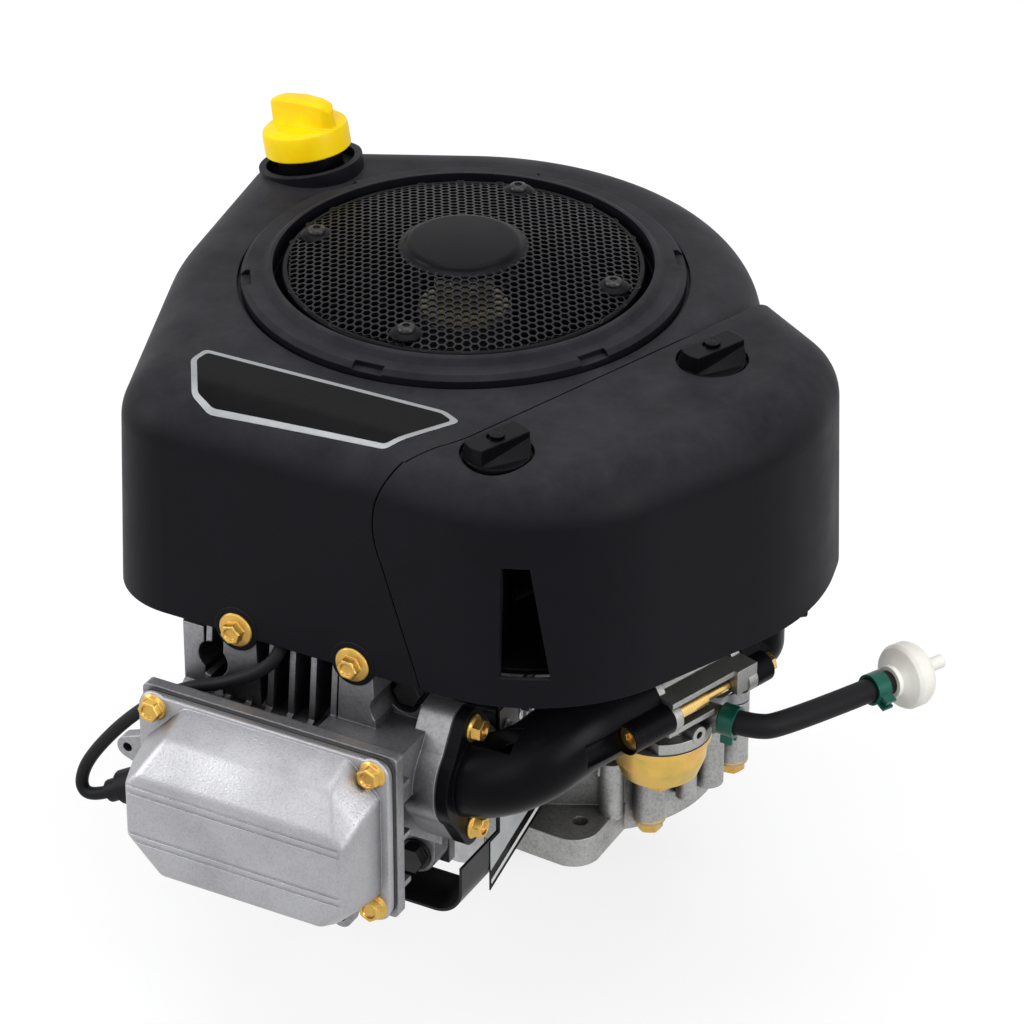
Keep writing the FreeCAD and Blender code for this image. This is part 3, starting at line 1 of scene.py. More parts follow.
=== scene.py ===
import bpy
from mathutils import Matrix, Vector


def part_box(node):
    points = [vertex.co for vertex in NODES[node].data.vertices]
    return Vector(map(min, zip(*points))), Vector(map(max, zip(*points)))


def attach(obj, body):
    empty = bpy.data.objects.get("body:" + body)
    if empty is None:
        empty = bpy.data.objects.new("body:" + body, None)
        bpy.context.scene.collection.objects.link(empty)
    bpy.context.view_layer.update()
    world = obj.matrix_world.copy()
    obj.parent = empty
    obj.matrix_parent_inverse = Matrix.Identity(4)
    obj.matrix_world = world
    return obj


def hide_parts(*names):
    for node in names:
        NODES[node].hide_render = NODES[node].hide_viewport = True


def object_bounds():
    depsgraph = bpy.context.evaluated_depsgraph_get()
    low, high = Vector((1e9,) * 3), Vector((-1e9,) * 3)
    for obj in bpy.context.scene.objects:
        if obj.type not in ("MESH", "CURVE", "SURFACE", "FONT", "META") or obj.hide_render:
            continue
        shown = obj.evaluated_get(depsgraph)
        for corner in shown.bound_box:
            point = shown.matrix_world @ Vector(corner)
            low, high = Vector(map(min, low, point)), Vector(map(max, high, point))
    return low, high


bl_info = {
    "name": "Vertical-shaft engine",
    "version": (1, 0, 0),
    "blender": (4, 5, 0),
    "location": "View3D > Sidebar > Engine",
    "description": "Finishes and fine pieces of a small air-cooled petrol engine",
    "category": "Object",
}

import math

import bmesh
import bpy
from mathutils import Matrix, Vector
from mathutils.bvhtree import BVHTree

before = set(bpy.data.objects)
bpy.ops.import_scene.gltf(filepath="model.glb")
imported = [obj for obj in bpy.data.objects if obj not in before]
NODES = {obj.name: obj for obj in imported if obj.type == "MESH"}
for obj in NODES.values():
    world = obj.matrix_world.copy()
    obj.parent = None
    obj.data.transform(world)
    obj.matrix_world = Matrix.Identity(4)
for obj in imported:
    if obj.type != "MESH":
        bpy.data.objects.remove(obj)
CAD_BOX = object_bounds()
X_AXIS = Vector((1.0, 0.0, 0.0))
Y_AXIS = Vector((0.0, 1.0, 0.0))
Z_AXIS = Vector((0.0, 0.0, 1.0))

# The CAD pieces that keep their shape, under the finish they wear.
CARRIED = {
    "charcoal moulding": ("blower_housing", "air_cleaner_cover", "debris_ring"),
    "black nylon": ("cover_knob_front", "cover_knob_rear", "intake_manifold", "carburetor_spacer",
                    "intake_elbow", "throttle_lever", "choke_lever", "ignition_coil", "oil_fill_tube",
                    "fan", "air_cleaner_base"),
    "cast aluminium": ("sump",),
    "head casting": ("crankcase", "cylinder_head"),
    "die-cast zinc": ("carburetor_body",),
    "turned brass": ("carburetor_studs",),
    "bright steel": ("throttle_shaft", "choke_shaft", "crankshaft", "flywheel_key", "ring_gear",
                     "spark_plug", "drain_plug", "dipstick"),
    "yellow zinc sheet": ("float_bowl",),
    "yellow zinc": ("bowl_nut",),
    "grey fibre": ("bowl_gasket", "sump_gasket", "head_gasket", "valve_cover_gasket", "manifold_gasket"),
    "black oxide": ("head_bolts",),
    "dull bronze": ("flywheel_nut",),
    "grey iron": ("flywheel",),
    "varnished copper": ("stator",),
    "black enamel": ("starter_motor", "cylinder_shield"),
    "black rubber": ("crank_seals", "oil_cap_seal", "spark_plug_boot"),
    "filter paper": ("air_filter",),
    "oiled foam": ("pre_cleaner",),
    "green spring steel": ("hose_clamps",),
    "ivory plastic": ("fuel_filter",),
}


# ---- sizes and colours
class EngineSizes(bpy.types.PropertyGroup):
    """Sizes of the fine pieces."""
    screen_pitch: bpy.props.FloatProperty(
        name="Screen pitch", description="Distance between the middles of two screen holes",
        default=0.0047, min=0.003, max=0.02, unit="LENGTH")
    screen_hole: bpy.props.FloatProperty(
        name="Screen hole", description="Width of one six-sided screen hole across its flats",
        default=0.0038, min=0.002, max=0.018, unit="LENGTH")
    cover_edge: bpy.props.FloatProperty(
        name="Valve cover edge", description="Rounding of the valve cover's edges",
        default=0.0026, min=0.0005, max=0.006, unit="LENGTH")
    badge_border: bpy.props.FloatProperty(
        name="Badge border", description="Width of the bright border round the bare badge",
        default=0.0030, min=0.001, max=0.006, unit="LENGTH")
    hose_diameter: bpy.props.FloatProperty(
        name="Fuel hose", description="Outside diameter of the fuel hose",
        default=0.0127, min=0.008, max=0.02, unit="LENGTH")
    lead_diameter: bpy.props.FloatProperty(
        name="Plug lead", description="Outside diameter of the spark plug lead",
        default=0.0068, min=0.004, max=0.01, unit="LENGTH")


class EngineColours(bpy.types.PropertyGroup):
    """Colours of the finishes."""
    moulding: bpy.props.FloatVectorProperty(
        name="Cowl", description="Fine-grained moulding of the cowl", subtype="COLOR",
        size=3, min=0.0, max=1.0, default=(0.0048, 0.0049, 0.0070))
    nylon: bpy.props.FloatVectorProperty(
        name="Black nylon", description="Manifold, knobs and other black plastic", subtype="COLOR",
        size=3, min=0.0, max=1.0, default=(0.0025, 0.0026, 0.0036))
    casting: bpy.props.FloatVectorProperty(
        name="Castings", description="Sump, crankcase, head and valve cover", subtype="COLOR",
        size=3, min=0.0, max=1.0, default=(0.42, 0.42, 0.44))
    zinc: bpy.props.FloatVectorProperty(
        name="Yellow zinc", description="Plating of the screws and the float bowl", subtype="COLOR",
        size=3, min=0.0, max=1.0, default=(0.50, 0.285, 0.052))
    cap: bpy.props.FloatVectorProperty(
        name="Filler cap", description="Yellow plastic of the oil filler cap", subtype="COLOR",
        size=3, min=0.0, max=1.0, default=(0.95, 0.60, 0.0))
    clamp: bpy.props.FloatVectorProperty(
        name="Hose clamps", description="Green coating of the spring clamps", subtype="COLOR",
        size=3, min=0.0, max=1.0, default=(0.0, 0.095, 0.065))
    filter_body: bpy.props.FloatVectorProperty(
        name="Fuel filter", description="Ivory plastic of the in-line fuel filter", subtype="COLOR",
        size=3, min=0.0, max=1.0, default=(0.86, 0.83, 0.75))


def sizes():
    return bpy.context.scene.engine_sizes


def colours():
    return bpy.context.scene.engine_colours


# ---- node helpers
SOCKET_KIND = {float: "Float", int: "Int", tuple: "Color"}


def put(tree, kind, inputs=None, **settings):
    """Add a node, set its options, and set or link its inputs."""
    node = tree.nodes.new(kind)
    for key, value in settings.items():
        setattr(node, key, value)
    for key, value in (inputs or {}).items():
        socket = node.inputs[key]
        if isinstance(value, bpy.types.NodeSocket):
            tree.links.new(value, socket)
        else:
            socket.default_value = value
    return node


def math_node(tree, operation, *values):
    return put(tree, "ShaderNodeMath", dict(enumerate(values)), operation=operation).outputs[0]


def times(tree, first, second):
    return math_node(tree, "MULTIPLY", first, second)


def times_plus(tree, first, second, added):
    return math_node(tree, "MULTIPLY_ADD", first, second, added)


def span(tree, value, low, high, to_low=0.0, to_high=1.0):
    """Value between low and high, turned into a clamped value between two others."""
    return put(tree, "ShaderNodeMapRange", {
        "Value": value, "From Min": low, "From Max": high,
        "To Min": to_low, "To Max": to_high}).outputs["Result"]


def mix_colours(tree, share, first, second):
    return put(tree, "ShaderNodeMix", {0: share, 6: first, 7: second}, data_type="RGBA").outputs[2]


def vector(tree, **parts):
    return put(tree, "ShaderNodeCombineXYZ", parts).outputs[0]


def own_place(tree):
    """Coordinates of the piece itself."""
    return put(tree, "ShaderNodeTexCoord").outputs["Object"]


def facing(tree):
    return put(tree, "ShaderNodeNewGeometry").outputs["Normal"]


def noise(tree, where, scale, detail, roughness):
    return put(tree, "ShaderNodeTexNoise", {
        "Vector": where, "Scale": scale, "Detail": detail, "Roughness": roughness}).outputs["Fac"]


def new_tree(name, kind, inputs, outputs):
    """Empty node group. An input is given by its default, or by its kind of socket if it has none.

    Returns the tree, its inputs and its output node.
    """
    tree = bpy.data.node_groups.new(name, kind)
    for label, value in inputs.items():
        socket_type = value if isinstance(value, str) else SOCKET_KIND[type(value)]
        socket = tree.interface.new_socket(label, in_out="INPUT", socket_type="NodeSocket" + socket_type)
        if value != socket_type:
            socket.default_value = value
    for label, socket_type in outputs.items():
        tree.interface.new_socket(label, in_out="OUTPUT", socket_type="NodeSocket" + socket_type)
    return tree, tree.nodes.new("NodeGroupInput").outputs, tree.nodes.new("NodeGroupOutput").inputs


def shader_group(name, inputs, outputs):
    return new_tree(name, "ShaderNodeTree", inputs, outputs)


# ---- effects shared by the finishes
def grain_effect():
    """Fine tooth of a moulded surface."""
    tree, given, out = shader_group("Fine Grain", {
        "Scale": 900.0, "Blotch Scale": 60.0}, {"Height": "Float", "Blotch": "Float"})
    where = own_place(tree)
    fine = noise(tree, where, given["Scale"], 3.0, 0.6)
    blotch = noise(tree, where, given["Blotch Scale"], 4.0, 0.6)
    tree.links.new(times_plus(tree, blotch, 0.25, fine), out["Height"])
    tree.links.new(span(tree, blotch, 0.35, 0.7), out["Blotch"])
    return tree


def edge_effect():
    """Worn edges: a mask where the surface turns sharply, broken up by noise."""
    tree, given, out = shader_group("Edge Wear", {
        "Width": 0.001, "Break Up": 250.0}, {"Mask": "Float", "Normal": "Vector"})
    soft = put(tree, "ShaderNodeBevel", {"Radius": given["Width"]}, samples=4).outputs[0]
    agreement = put(tree, "ShaderNodeVectorMath", {0: soft, 1: facing(tree)}, operation="DOT_PRODUCT")
    turned = span(tree, agreement.outputs["Value"], 0.985, 0.86)
    broken = span(tree, noise(tree, own_place(tree), given["Break Up"], 3.0, 0.65), 0.36, 0.62)
    tree.links.new(times(tree, turned, broken), out["Mask"])
    tree.links.new(soft, out["Normal"])
    return tree


def casting_effect():
    """Sand-cast skin: clouded tone, fine sand and scattered pits."""
    tree, given, out = shader_group("Cast Skin", {
        "Light": (0.6, 0.6, 0.6, 1.0), "Dark": (0.3, 0.3, 0.3, 1.0), "Sand Scale": 700.0,
        "Cloud Scale": 35.0}, {"Colour": "Color", "Roughness": "Float", "Height": "Float"})
    where = own_place(tree)
    cloud = noise(tree, where, given["Cloud Scale"], 5.0, 0.6)
    sand = noise(tree, where, given["Sand Scale"], 3.0, 0.7)
    cells = put(tree, "ShaderNodeTexVoronoi", {"Vector": where, "Scale": 420.0}).outputs["Distance"]
    pits = span(tree, cells, 0.05, 0.2, 1.0, 0.0)
    speckle = span(tree, sand, 0.45, 0.75, 0.0, 0.5)
    tone = times_plus(tree, span(tree, cloud, 0.38, 0.75), 0.5, speckle)
    tree.links.new(mix_colours(tree, tone, given["Light"], given["Dark"]), out["Colour"])
    tree.links.new(span(tree, cloud, 0.3, 0.7, 0.36, 0.52), out["Roughness"])
    tree.links.new(times_plus(tree, pits, -0.7, sand), out["Height"])
    return tree


def plating_effect():
    """Uneven colour of yellow chromate on zinc, from straw to pink and green."""
    tree, given, out = shader_group("Chromate Bloom", {
        "Base": (0.7, 0.45, 0.1, 1.0), "Scale": 90.0, "Strength": 0.5}, {
        "Colour": "Color", "Roughness": "Float"})
    cloud = noise(tree, own_place(tree), given["Scale"], 4.0, 0.6)
    ramp = put(tree, "ShaderNodeValToRGB", {"Fac": cloud})
    stops = ramp.color_ramp.elements
    stops[0].position, stops[0].color = 0.34, (0.80, 0.38, 0.17, 1.0)
    stops[1].position, stops[1].color = 0.70, (0.52, 0.44, 0.12, 1.0)
    stops.new(0.5).color = (0.82, 0.55, 0.14, 1.0)
    bloom = mix_colours(tree, given["Strength"], given["Base"], ramp.outputs["Color"])
    tree.links.new(bloom, out["Colour"])
    tree.links.new(span(tree, cloud, 0.3, 0.7, 0.24, 0.42), out["Roughness"])
    return tree


def dust_effect():
    """Dust that settles on what faces upward."""
    tree, given, out = shader_group("Settled Dust", {"Amount": 0.2, "Scale": 40.0}, {"Mask": "Float"})
    up = put(tree, "ShaderNodeSeparateXYZ", {0: facing(tree)}).outputs["Z"]
    patch = span(tree, noise(tree, own_place(tree), given["Scale"], 5.0, 0.7), 0.35, 0.75, 0.35, 1.0)
    lying = times(tree, span(tree, up, 0.2, 0.9), patch)
    tree.links.new(times(tree, lying, given["Amount"]), out["Mask"])
    return tree


def painted_shade_effect():
    """Painted shade: a mask, from ambient occlusion, of corners that open on little light."""
    tree, given, out = shader_group("Recess Grime", {"Reach": 0.03, "Amount": 0.8}, {"Mask": "Float"})
    sky = put(tree, "ShaderNodeAmbientOcclusion", {"Distance": given["Reach"]}, samples=6).outputs["AO"]
    patch = span(tree, noise(tree, own_place(tree), 90.0, 3.0, 0.6), 0.3, 0.7, 0.75, 1.0)
    closed = times(tree, span(tree, sky, 0.75, 0.2), patch)
    tree.links.new(times(tree, closed, given["Amount"]), out["Mask"])
    return tree


EFFECTS = {"Fine Grain": grain_effect, "Edge Wear": edge_effect, "Cast Skin": casting_effect,
           "Chromate Bloom": plating_effect, "Settled Dust": dust_effect, "Recess Grime": painted_shade_effect}


def effect(tree, name, inputs):
    """Place one of the shared effects in a finish."""
    shared = bpy.data.node_groups.get(name) or EFFECTS[name]()
    return put(tree, "ShaderNodeGroup", inputs, node_tree=shared).outputs


# ---- finishes
DUST = (0.24, 0.24, 0.27, 1.0)
# Near-black colour of the painted shade in recesses.
PAINTED_SHADE = (0.018, 0.018, 0.02, 1.0)
RUBBED_PLATING = (0.85, 0.74, 0.48, 1.0)


def rgba(source, gain=1.0):
    """Colour with alpha, from a grey, a colour, a user's colour by its name, or (name, share)."""
    if isinstance(source, float):
        source = (source, source, source)
    if isinstance(source, str):
        source = (source, 1.0)
    if isinstance(source[0], str):
        gain *= source[1]
        source = getattr(colours(), source[0])
    return tuple(min(1.0, c * gain) for c in source) + (1.0,)


def blank_finish(name, **fixed):
    """Material with its Principled shader; fixed values go on the shader's own sockets."""
    material = bpy.data.materials.new(name)
    material.use_nodes = True
    shader = material.node_tree.nodes["Principled BSDF"]
    for key, value in fixed.items():
        shader.inputs[key.replace("_", " ")].default_value = value
    return material.node_tree, shader.inputs


def raise_surface(tree, shader, height, depth, normal=None):
    """Feed a height into the finish's normal."""
    inputs = {"Height": height, "Strength": 1.0, "Distance": depth}
    if normal is not None:
        inputs["Normal"] = normal
    tree.links.new(put(tree, "ShaderNodeBump", inputs).outputs["Normal"], shader["Normal"])


def moulded_finish(name, colour, rubbed, roughness, grain, depth, edge, dust, specular):
    """Moulded or painted surface: grain, rubbed edges, dust on top."""
    tree, shader = blank_finish(name, Specular_IOR_Level=specular)
    tooth = effect(tree, "Fine Grain", {"Scale": grain, "Blotch Scale": 45.0})
    edges = effect(tree, "Edge Wear", {"Width": edge, "Break Up": 300.0})
    dusty = effect(tree, "Settled Dust", {"Amount": dust, "Scale": 35.0})["Mask"]
    body = mix_colours(tree, tooth["Blotch"], rgba(colour), rgba(colour, 1.25))
    body = mix_colours(tree, times(tree, edges["Mask"], 0.6), body, rgba(rubbed))
    tree.links.new(mix_colours(tree, dusty, body, DUST), shader["Base Color"])
    rough = times_plus(tree, tooth["Blotch"], 0.08, roughness)
    tree.links.new(times_plus(tree, dusty, 0.25, rough), shader["Roughness"])
    raise_surface(tree, shader, tooth["Height"], depth, edges["Normal"])


def cast_finish(name, light, dark, metal, sand, depth, edge, painted_shade_amount):
    """Cast metal: cloudy skin, fine sand, polished edges, and painted shade darkening the recesses."""
    tree, shader = blank_finish(name, Metallic=metal)
    skin = effect(tree, "Cast Skin", {
        "Light": rgba(light), "Dark": rgba(dark), "Sand Scale": sand, "Cloud Scale": 28.0})
    edges = effect(tree, "Edge Wear", {"Width": edge, "Break Up": 180.0})
    polish = times(tree, edges["Mask"], 0.5)
    body = mix_colours(tree, polish, skin["Colour"], rgba(light, 1.25))
    # Painted shade: recesses are darkened towards a near-black colour by ambient occlusion.
    shade_mask = effect(tree, "Recess Grime", {"Reach": 0.03, "Amount": painted_shade_amount})["Mask"]
    tree.links.new(mix_colours(tree, shade_mask, body, PAINTED_SHADE), shader["Base Color"])
    rough = times_plus(tree, edges["Mask"], -0.12, skin["Roughness"])
    tree.links.new(rough, shader["Roughness"])
    raise_surface(tree, shader, skin["Height"], depth, edges["Normal"])


def plated_finish(name, colour, strength, scale, metal):
    """Yellow zinc plating with its uneven bloom."""
    tree, shader = blank_finish(name, Metallic=metal)
    bloom = effect(tree, "Chromate Bloom", {"Base": rgba(colour), "Scale": scale, "Strength": strength})
    edges = effect(tree, "Edge Wear", {"Width": 0.0004, "Break Up": 500.0})
    polish = times(tree, edges["Mask"], 0.5)
    tree.links.new(mix_colours(tree, polish, bloom["Colour"], RUBBED_PLATING), shader["Base Color"])
    tree.links.new(bloom["Roughness"], shader["Roughness"])
    tooth = effect(tree, "Fine Grain", {"Scale": 1500.0, "Blotch Scale": 120.0})
    raise_surface(tree, shader, tooth["Height"], 0.00003, edges["Normal"])


def machined_finish(name, light, dark, metal, roughness):
    """Turned or ground metal: fine lines and stains."""
    tree, shader = blank_finish(name, Metallic=metal)
    tooth = effect(tree, "Fine Grain", {"Scale": 1200.0, "Blotch Scale": 70.0})
    edges = effect(tree, "Edge Wear", {"Width": 0.0006, "Break Up": 260.0})
    body = mix_colours(tree, tooth["Blotch"], rgba(light), rgba(dark))
    tree.links.new(mix_colours(tree, edges["Mask"], body, rgba(light, 1.3)), shader["Base Color"])
    rough = times_plus(tree, tooth["Blotch"], 0.12, roughness)
    tree.links.new(rough, shader["Roughness"])
    raise_surface(tree, shader, tooth["Height"], 0.00003, edges["Normal"])


def porous_finish(name, pattern, low, high, least_rough, most_rough, depth):
    """Dull open material whose colour, roughness and relief follow one pattern."""
    tree, shader = blank_finish(name)
    relief = pattern(tree, own_place(tree))
    tree.links.new(mix_colours(tree, relief, rgba(low), rgba(high)), shader["Base Color"])
    tree.links.new(span(tree, relief, 0.0, 1.0, least_rough, most_rough), shader["Roughness"])
    raise_surface(tree, shader, relief, depth)


def pleats(tree, where):
    """Upright folds of filter paper."""
    return put(tree, "ShaderNodeTexWave", {
        "Vector": where, "Scale": 60.0, "Distortion": 0.4, "Detail": 1.0},
        bands_direction="DIAGONAL").outputs["Fac"]


def foam_cells(tree, where):
    return put(tree, "ShaderNodeTexVoronoi", {"Vector": where, "Scale": 700.0}).outputs["Distance"]


# Each kind of finish with its rows: the name of a finish and the values that its function takes.
FINISHES = {
    # colour, rubbed edges, roughness, grain scale, grain depth, edge width, dust, specular level
    moulded_finish: {
        "charcoal moulding": ("moulding", (0.02, 0.02, 0.023), 0.46, 1100.0, 0.00007, 0.001, 0.11, 0.07),
        "black nylon": ("nylon", 0.02, 0.28, 800.0, 0.00004, 0.001, 0.012, 0.06),
        "black screen": ("nylon", 0.05, 0.34, 900.0, 0.00002, 0.0004, 0.05, 0.16),
        "black enamel": ((0.006, 0.006, 0.007), 0.12, 0.3, 300.0, 0.00003, 0.0005, 0.02, 0.2),
        "black rubber": ((0.006, 0.006, 0.007), 0.02, 0.5, 1400.0, 0.00006, 0.0006, 0.02, 0.12),
        "yellow plastic": ("cap", (1.0, 0.78, 0.05), 0.38, 1000.0, 0.00002, 0.0008, 0.0, 0.2),
        "ivory plastic": ("filter_body", (0.9, 0.88, 0.82), 0.34, 900.0, 0.00002, 0.0008, 0.0, 0.5),
        "badge face": ((0.004, 0.004, 0.0045), 0.02, 0.24, 1600.0, 0.00001, 0.0003, 0.005, 0.04),
        "label face": ((0.42, 0.43, 0.44), 0.5, 0.42, 900.0, 0.00001, 0.0003, 0.05, 0.5),
        "label line": (0.72, 0.8, 0.4, 900.0, 0.00001, 0.0003, 0.02, 0.5),
        "grey fibre": (0.05, 0.09, 0.8, 700.0, 0.0001, 0.0003, 0.0, 0.2),
        "varnished copper": ((0.30, 0.10, 0.03), (0.5, 0.25, 0.1), 0.35, 260.0, 0.0008, 0.0006, 0.0, 0.5),
    },
    # light tone, dark tone, metallic, sand scale, sand depth, edge width, amount of painted shade in recesses
    cast_finish: {
        "cast aluminium": ((0.40, 0.40, 0.395), (0.13, 0.13, 0.125), 0.85, 620.0, 0.0002, 0.001, 0.85),
        "die-cast cover": (("casting", 0.95), ("casting", 0.60), 0.9, 800.0, 0.00016, 0.001, 0.85),
        # The crankcase and head get a darker copy of the valve cover's casting colour: painted shade for
        # where they sit under the cowl.
        "head casting": (("casting", 0.76), ("casting", 0.38), 0.88, 500.0, 0.00016, 0.001, 1.0),
        "die-cast zinc": ((0.40, 0.40, 0.385), (0.21, 0.21, 0.20), 0.85, 1100.0, 0.00006, 0.0008, 0.85),
        "grey iron": (0.09, (0.04, 0.037, 0.035), 0.7, 500.0, 0.00012, 0.001, 0.85),
    },
    # colour, strength of the bloom, scale of the bloom, metallic
    plated_finish: {
        "yellow zinc": ("zinc", 0.35, 160.0, 0.85),
        "yellow zinc sheet": (("zinc", 1.12), 0.55, 45.0, 0.75),
    },
    # light tone, stained tone, metallic, roughness
    machined_finish: {
        "black oxide": ((0.022, 0.022, 0.023), (0.012, 0.012, 0.013), 0.5, 0.34),
        "turned brass": ((0.80, 0.55, 0.20), (0.62, 0.40, 0.12), 0.95, 0.22),
        "dull bronze": ((0.46, 0.43, 0.29), (0.30, 0.27, 0.17), 0.8, 0.42),
        "bright steel": ((0.50, 0.50, 0.51), (0.32, 0.32, 0.33), 0.95, 0.28),
        "silver border": ((0.34, 0.35, 0.36), (0.28, 0.29, 0.30), 0.6, 0.3),
        "green spring steel": ("clamp", ("clamp", 0.6), 0.45, 0.32),
    },
    # pattern, colour where it is low and high, least and most roughness, relief
    porous_finish: {
        "filter paper": (pleats, (0.62, 0.53, 0.34), (0.86, 0.80, 0.62), 0.75, 0.9, 0.001),
        "oiled foam": (foam_cells, 0.01, (0.08, 0.08, 0.075), 0.8, 0.95, 0.0006),
    },
}


def finish(name):
    """The named material, made when it is first asked for."""
    for maker, rows in FINISHES.items():
        if name in rows and name not in bpy.data.materials:
            maker(name, *rows[name])
    return bpy.data.materials[name]


# ---- shape helpers
def linked(name, data):
    """New object in the scene."""
    piece = bpy.data.objects.new(name, data)
    bpy.context.scene.collection.objects.link(piece)
    return piece


def link_mesh(name, bm, matrix=None):
    """New object from a bmesh, placed by moving its points."""
    if matrix is not None:
        bmesh.ops.transform(bm, matrix=matrix, verts=bm.verts)
    mesh = bpy.data.meshes.new(name)
    bm.to_mesh(mesh)
    bm.free()
    return linked(name, mesh)


def smooth(piece, degrees):
    """Soft shading, apart from where the surface turns by more than this."""
    piece.data.shade_smooth()
    piece.data.set_sharp_from_angle(angle=math.radians(degrees))
    return piece


def frozen(piece, name=None):
    """Plain mesh of a piece with its modifiers applied; the piece itself goes."""
    depsgraph = bpy.context.evaluated_depsgraph_get()
    mesh = bpy.data.meshes.new_from_object(
        piece.evaluated_get(depsgraph), preserve_all_data_layers=True, depsgraph=depsgraph)
    title = name or piece.name
    bpy.data.objects.remove(piece)
    mesh.name = title
    return linked(title, mesh)


def settle(piece, body, slot, finish_name, *nodes):
    """Give a finished piece its material and its body, and hide the CAD pieces it stands for; its slot is not
    used.
    """
    piece.data.materials.clear()
    piece.data.materials.append(finish(finish_name))
    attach(piece, body)
    if nodes:
        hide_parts(*nodes)


def solid(name, rings, matrix=None, loop=False):
    """Closed mesh through rings of points; one point is a pole, and an end ring gets a flat cap."""
    bm = bmesh.new()
    rings = [[bm.verts.new(point) for point in ring] for ring in rings]
    steps = max(len(ring) for ring in rings)
    for low, high in zip(rings, rings[1:] + rings[:1] if loop else rings[1:]):
        for i in range(steps):
            j = (i + 1) % steps
            corners = [low[i % len(low)], low[j % len(low)], high[j % len(high)], high[i % len(high)]]
            bm.faces.new([v for n, v in enumerate(corners) if v not in corners[:n]])
    for end in () if loop else (rings[0][::-1], rings[-1]):
        if len(end) > 1:
            bm.faces.new(end)
    bmesh.ops.recalc_face_normals(bm, faces=bm.faces)
    return link_mesh(name, bm, matrix)


def round_ring(radius, height, steps, six=0.0):
    """Ring of points, from round (0) to six-sided (1); no radius gives a pole."""
    if radius == 0.0:
        return [(0.0, 0.0, height)]
    points = []
    for i in range(steps):
        angle = 2 * math.pi * i / steps
        off = (angle + math.pi / 6) % (math.pi / 3) - math.pi / 6
        reach = radius * (1 - six) + radius / math.cos(off) * six
        points.append((reach * math.cos(angle), reach * math.sin(angle), height))
    return points


def revolved(name, profile, steps, matrix=None):
    """Solid from points of radius, height and share of a hexagon, up to a pole or round a loop."""
    rings = [round_ring(radius, height, steps, *six) for radius, height, *six in profile]
    return solid(name, rings, matrix, loop=len(rings[0]) > 1 and len(rings[-1]) > 1)


def joined(name, pieces):
    """One mesh from several."""
    bm = bmesh.new()
    for piece in pieces:
        bm.from_mesh(piece.data)
        bpy.data.objects.remove(piece)
    return link_mesh(name, bm)


def rounded_corners(points, radius, steps=5):
    """Plan outline with its corners rounded; radius is measured along each side."""
    outline = []
    for i, corner in enumerate(points):
        before, after = Vector(points[i - 1]), Vector(points[(i + 1) % len(points)])
        corner = Vector(corner)
        start = corner + (before - corner).normalized() * radius
        end = corner + (after - corner).normalized() * radius
        for k in range(steps + 1):
            t = k / steps
            outline.append(start * (1 - t) ** 2 + corner * (2 * t * (1 - t)) + end * t ** 2)
    return outline


def inset(corners, width):
    """Plan outline moved inward, so that a border of one width is left round it."""
    inner = []
    for i, corner in enumerate(corners):
        before = (Vector(corner) - Vector(corners[i - 1])).normalized()
        after = (Vector(corners[(i + 1) % len(corners)]) - Vector(corner)).normalized()
        inward = Vector((before.y + after.y, -before.x - after.x)).normalized()
        share = max(0.5, inward.dot(Vector((before.y, -before.x))))
        inner.append(Vector(corner) + inward * width / share)
    return inner


def plate(name, outline, low, high, matrix=None):
    """Flat plate from a plan outline."""
    return solid(name, [[(x, y, level) for x, y in outline] for level in (low, high)], matrix)


def bevelled(piece, width, segments, degrees):
    modifier = piece.modifiers.new("Rounding", "BEVEL")
    modifier.width = width
    modifier.segments = segments
    modifier.limit_method = "ANGLE"
    modifier.angle_limit = math.radians(degrees)
    return frozen(piece)


def cut_away(piece, cutter):
    """Take one mesh out of another; the cutter goes."""
    modifier = piece.modifiers.new("Cut", "BOOLEAN")
    modifier.operation = "DIFFERENCE"
    modifier.solver = "EXACT"
    modifier.object = cutter
    piece = frozen(piece)
    bpy.data.objects.remove(cutter)
    return piece


def cord_curve(name, route, diameter):
    """Smooth round cord on its route's points."""
    curve = bpy.data.curves.new(name, "CURVE")
    curve.dimensions = "3D"
    spline = curve.splines.new("NURBS")
    spline.points.add(len(route) - 1)
    for point, place in zip(spline.points, route):
        point.co = (*place, 1.0)
    spline.order_u = 3
    spline.use_endpoint_u = True
    spline.resolution_u = 16
    curve.bevel_depth = diameter / 2
    curve.bevel_resolution = 8
    curve.use_fill_caps = True
    return linked(name, curve)


# ---- Geometry Nodes for what repeats
SCREEN_COLUMNS = 42      # steps across the grid that the screen's holes are laid on
SCREEN_ROWS = 48
ROW_SHARE = 0.8660254    # distance between two staggered rows, as a share of the pitch
SIXTH_TURN = 1.0472


def unit_cell(hole_share):
    """One cell of the screen, one pitch wide across its flats and one unit thick."""
    bm = bmesh.new()
    outer, inner = 1.0 / math.sqrt(3.0), hole_share / math.sqrt(3.0)
    loops = []
    for radius, height in ((outer, 0.5), (inner, 0.5), (inner, -0.5), (outer, -0.5)):
        loops.append([bm.verts.new((
            radius * math.sin(math.pi * k / 3), radius * math.cos(math.pi * k / 3), height))
            for k in range(6)])
    for first, second in zip(loops, loops[1:]):
        for k in range(6):
            bm.faces.new((first[k], first[(k + 1) % 6], second[(k + 1) % 6], second[k]))
    bmesh.ops.recalc_face_normals(bm, faces=bm.faces)
    if sum(f.normal.z for f in bm.faces if f.calc_center_median().z > 0.4) < 0:
        bmesh.ops.reverse_faces(bm, faces=bm.faces)
    return link_mesh("screen_cell", bm)


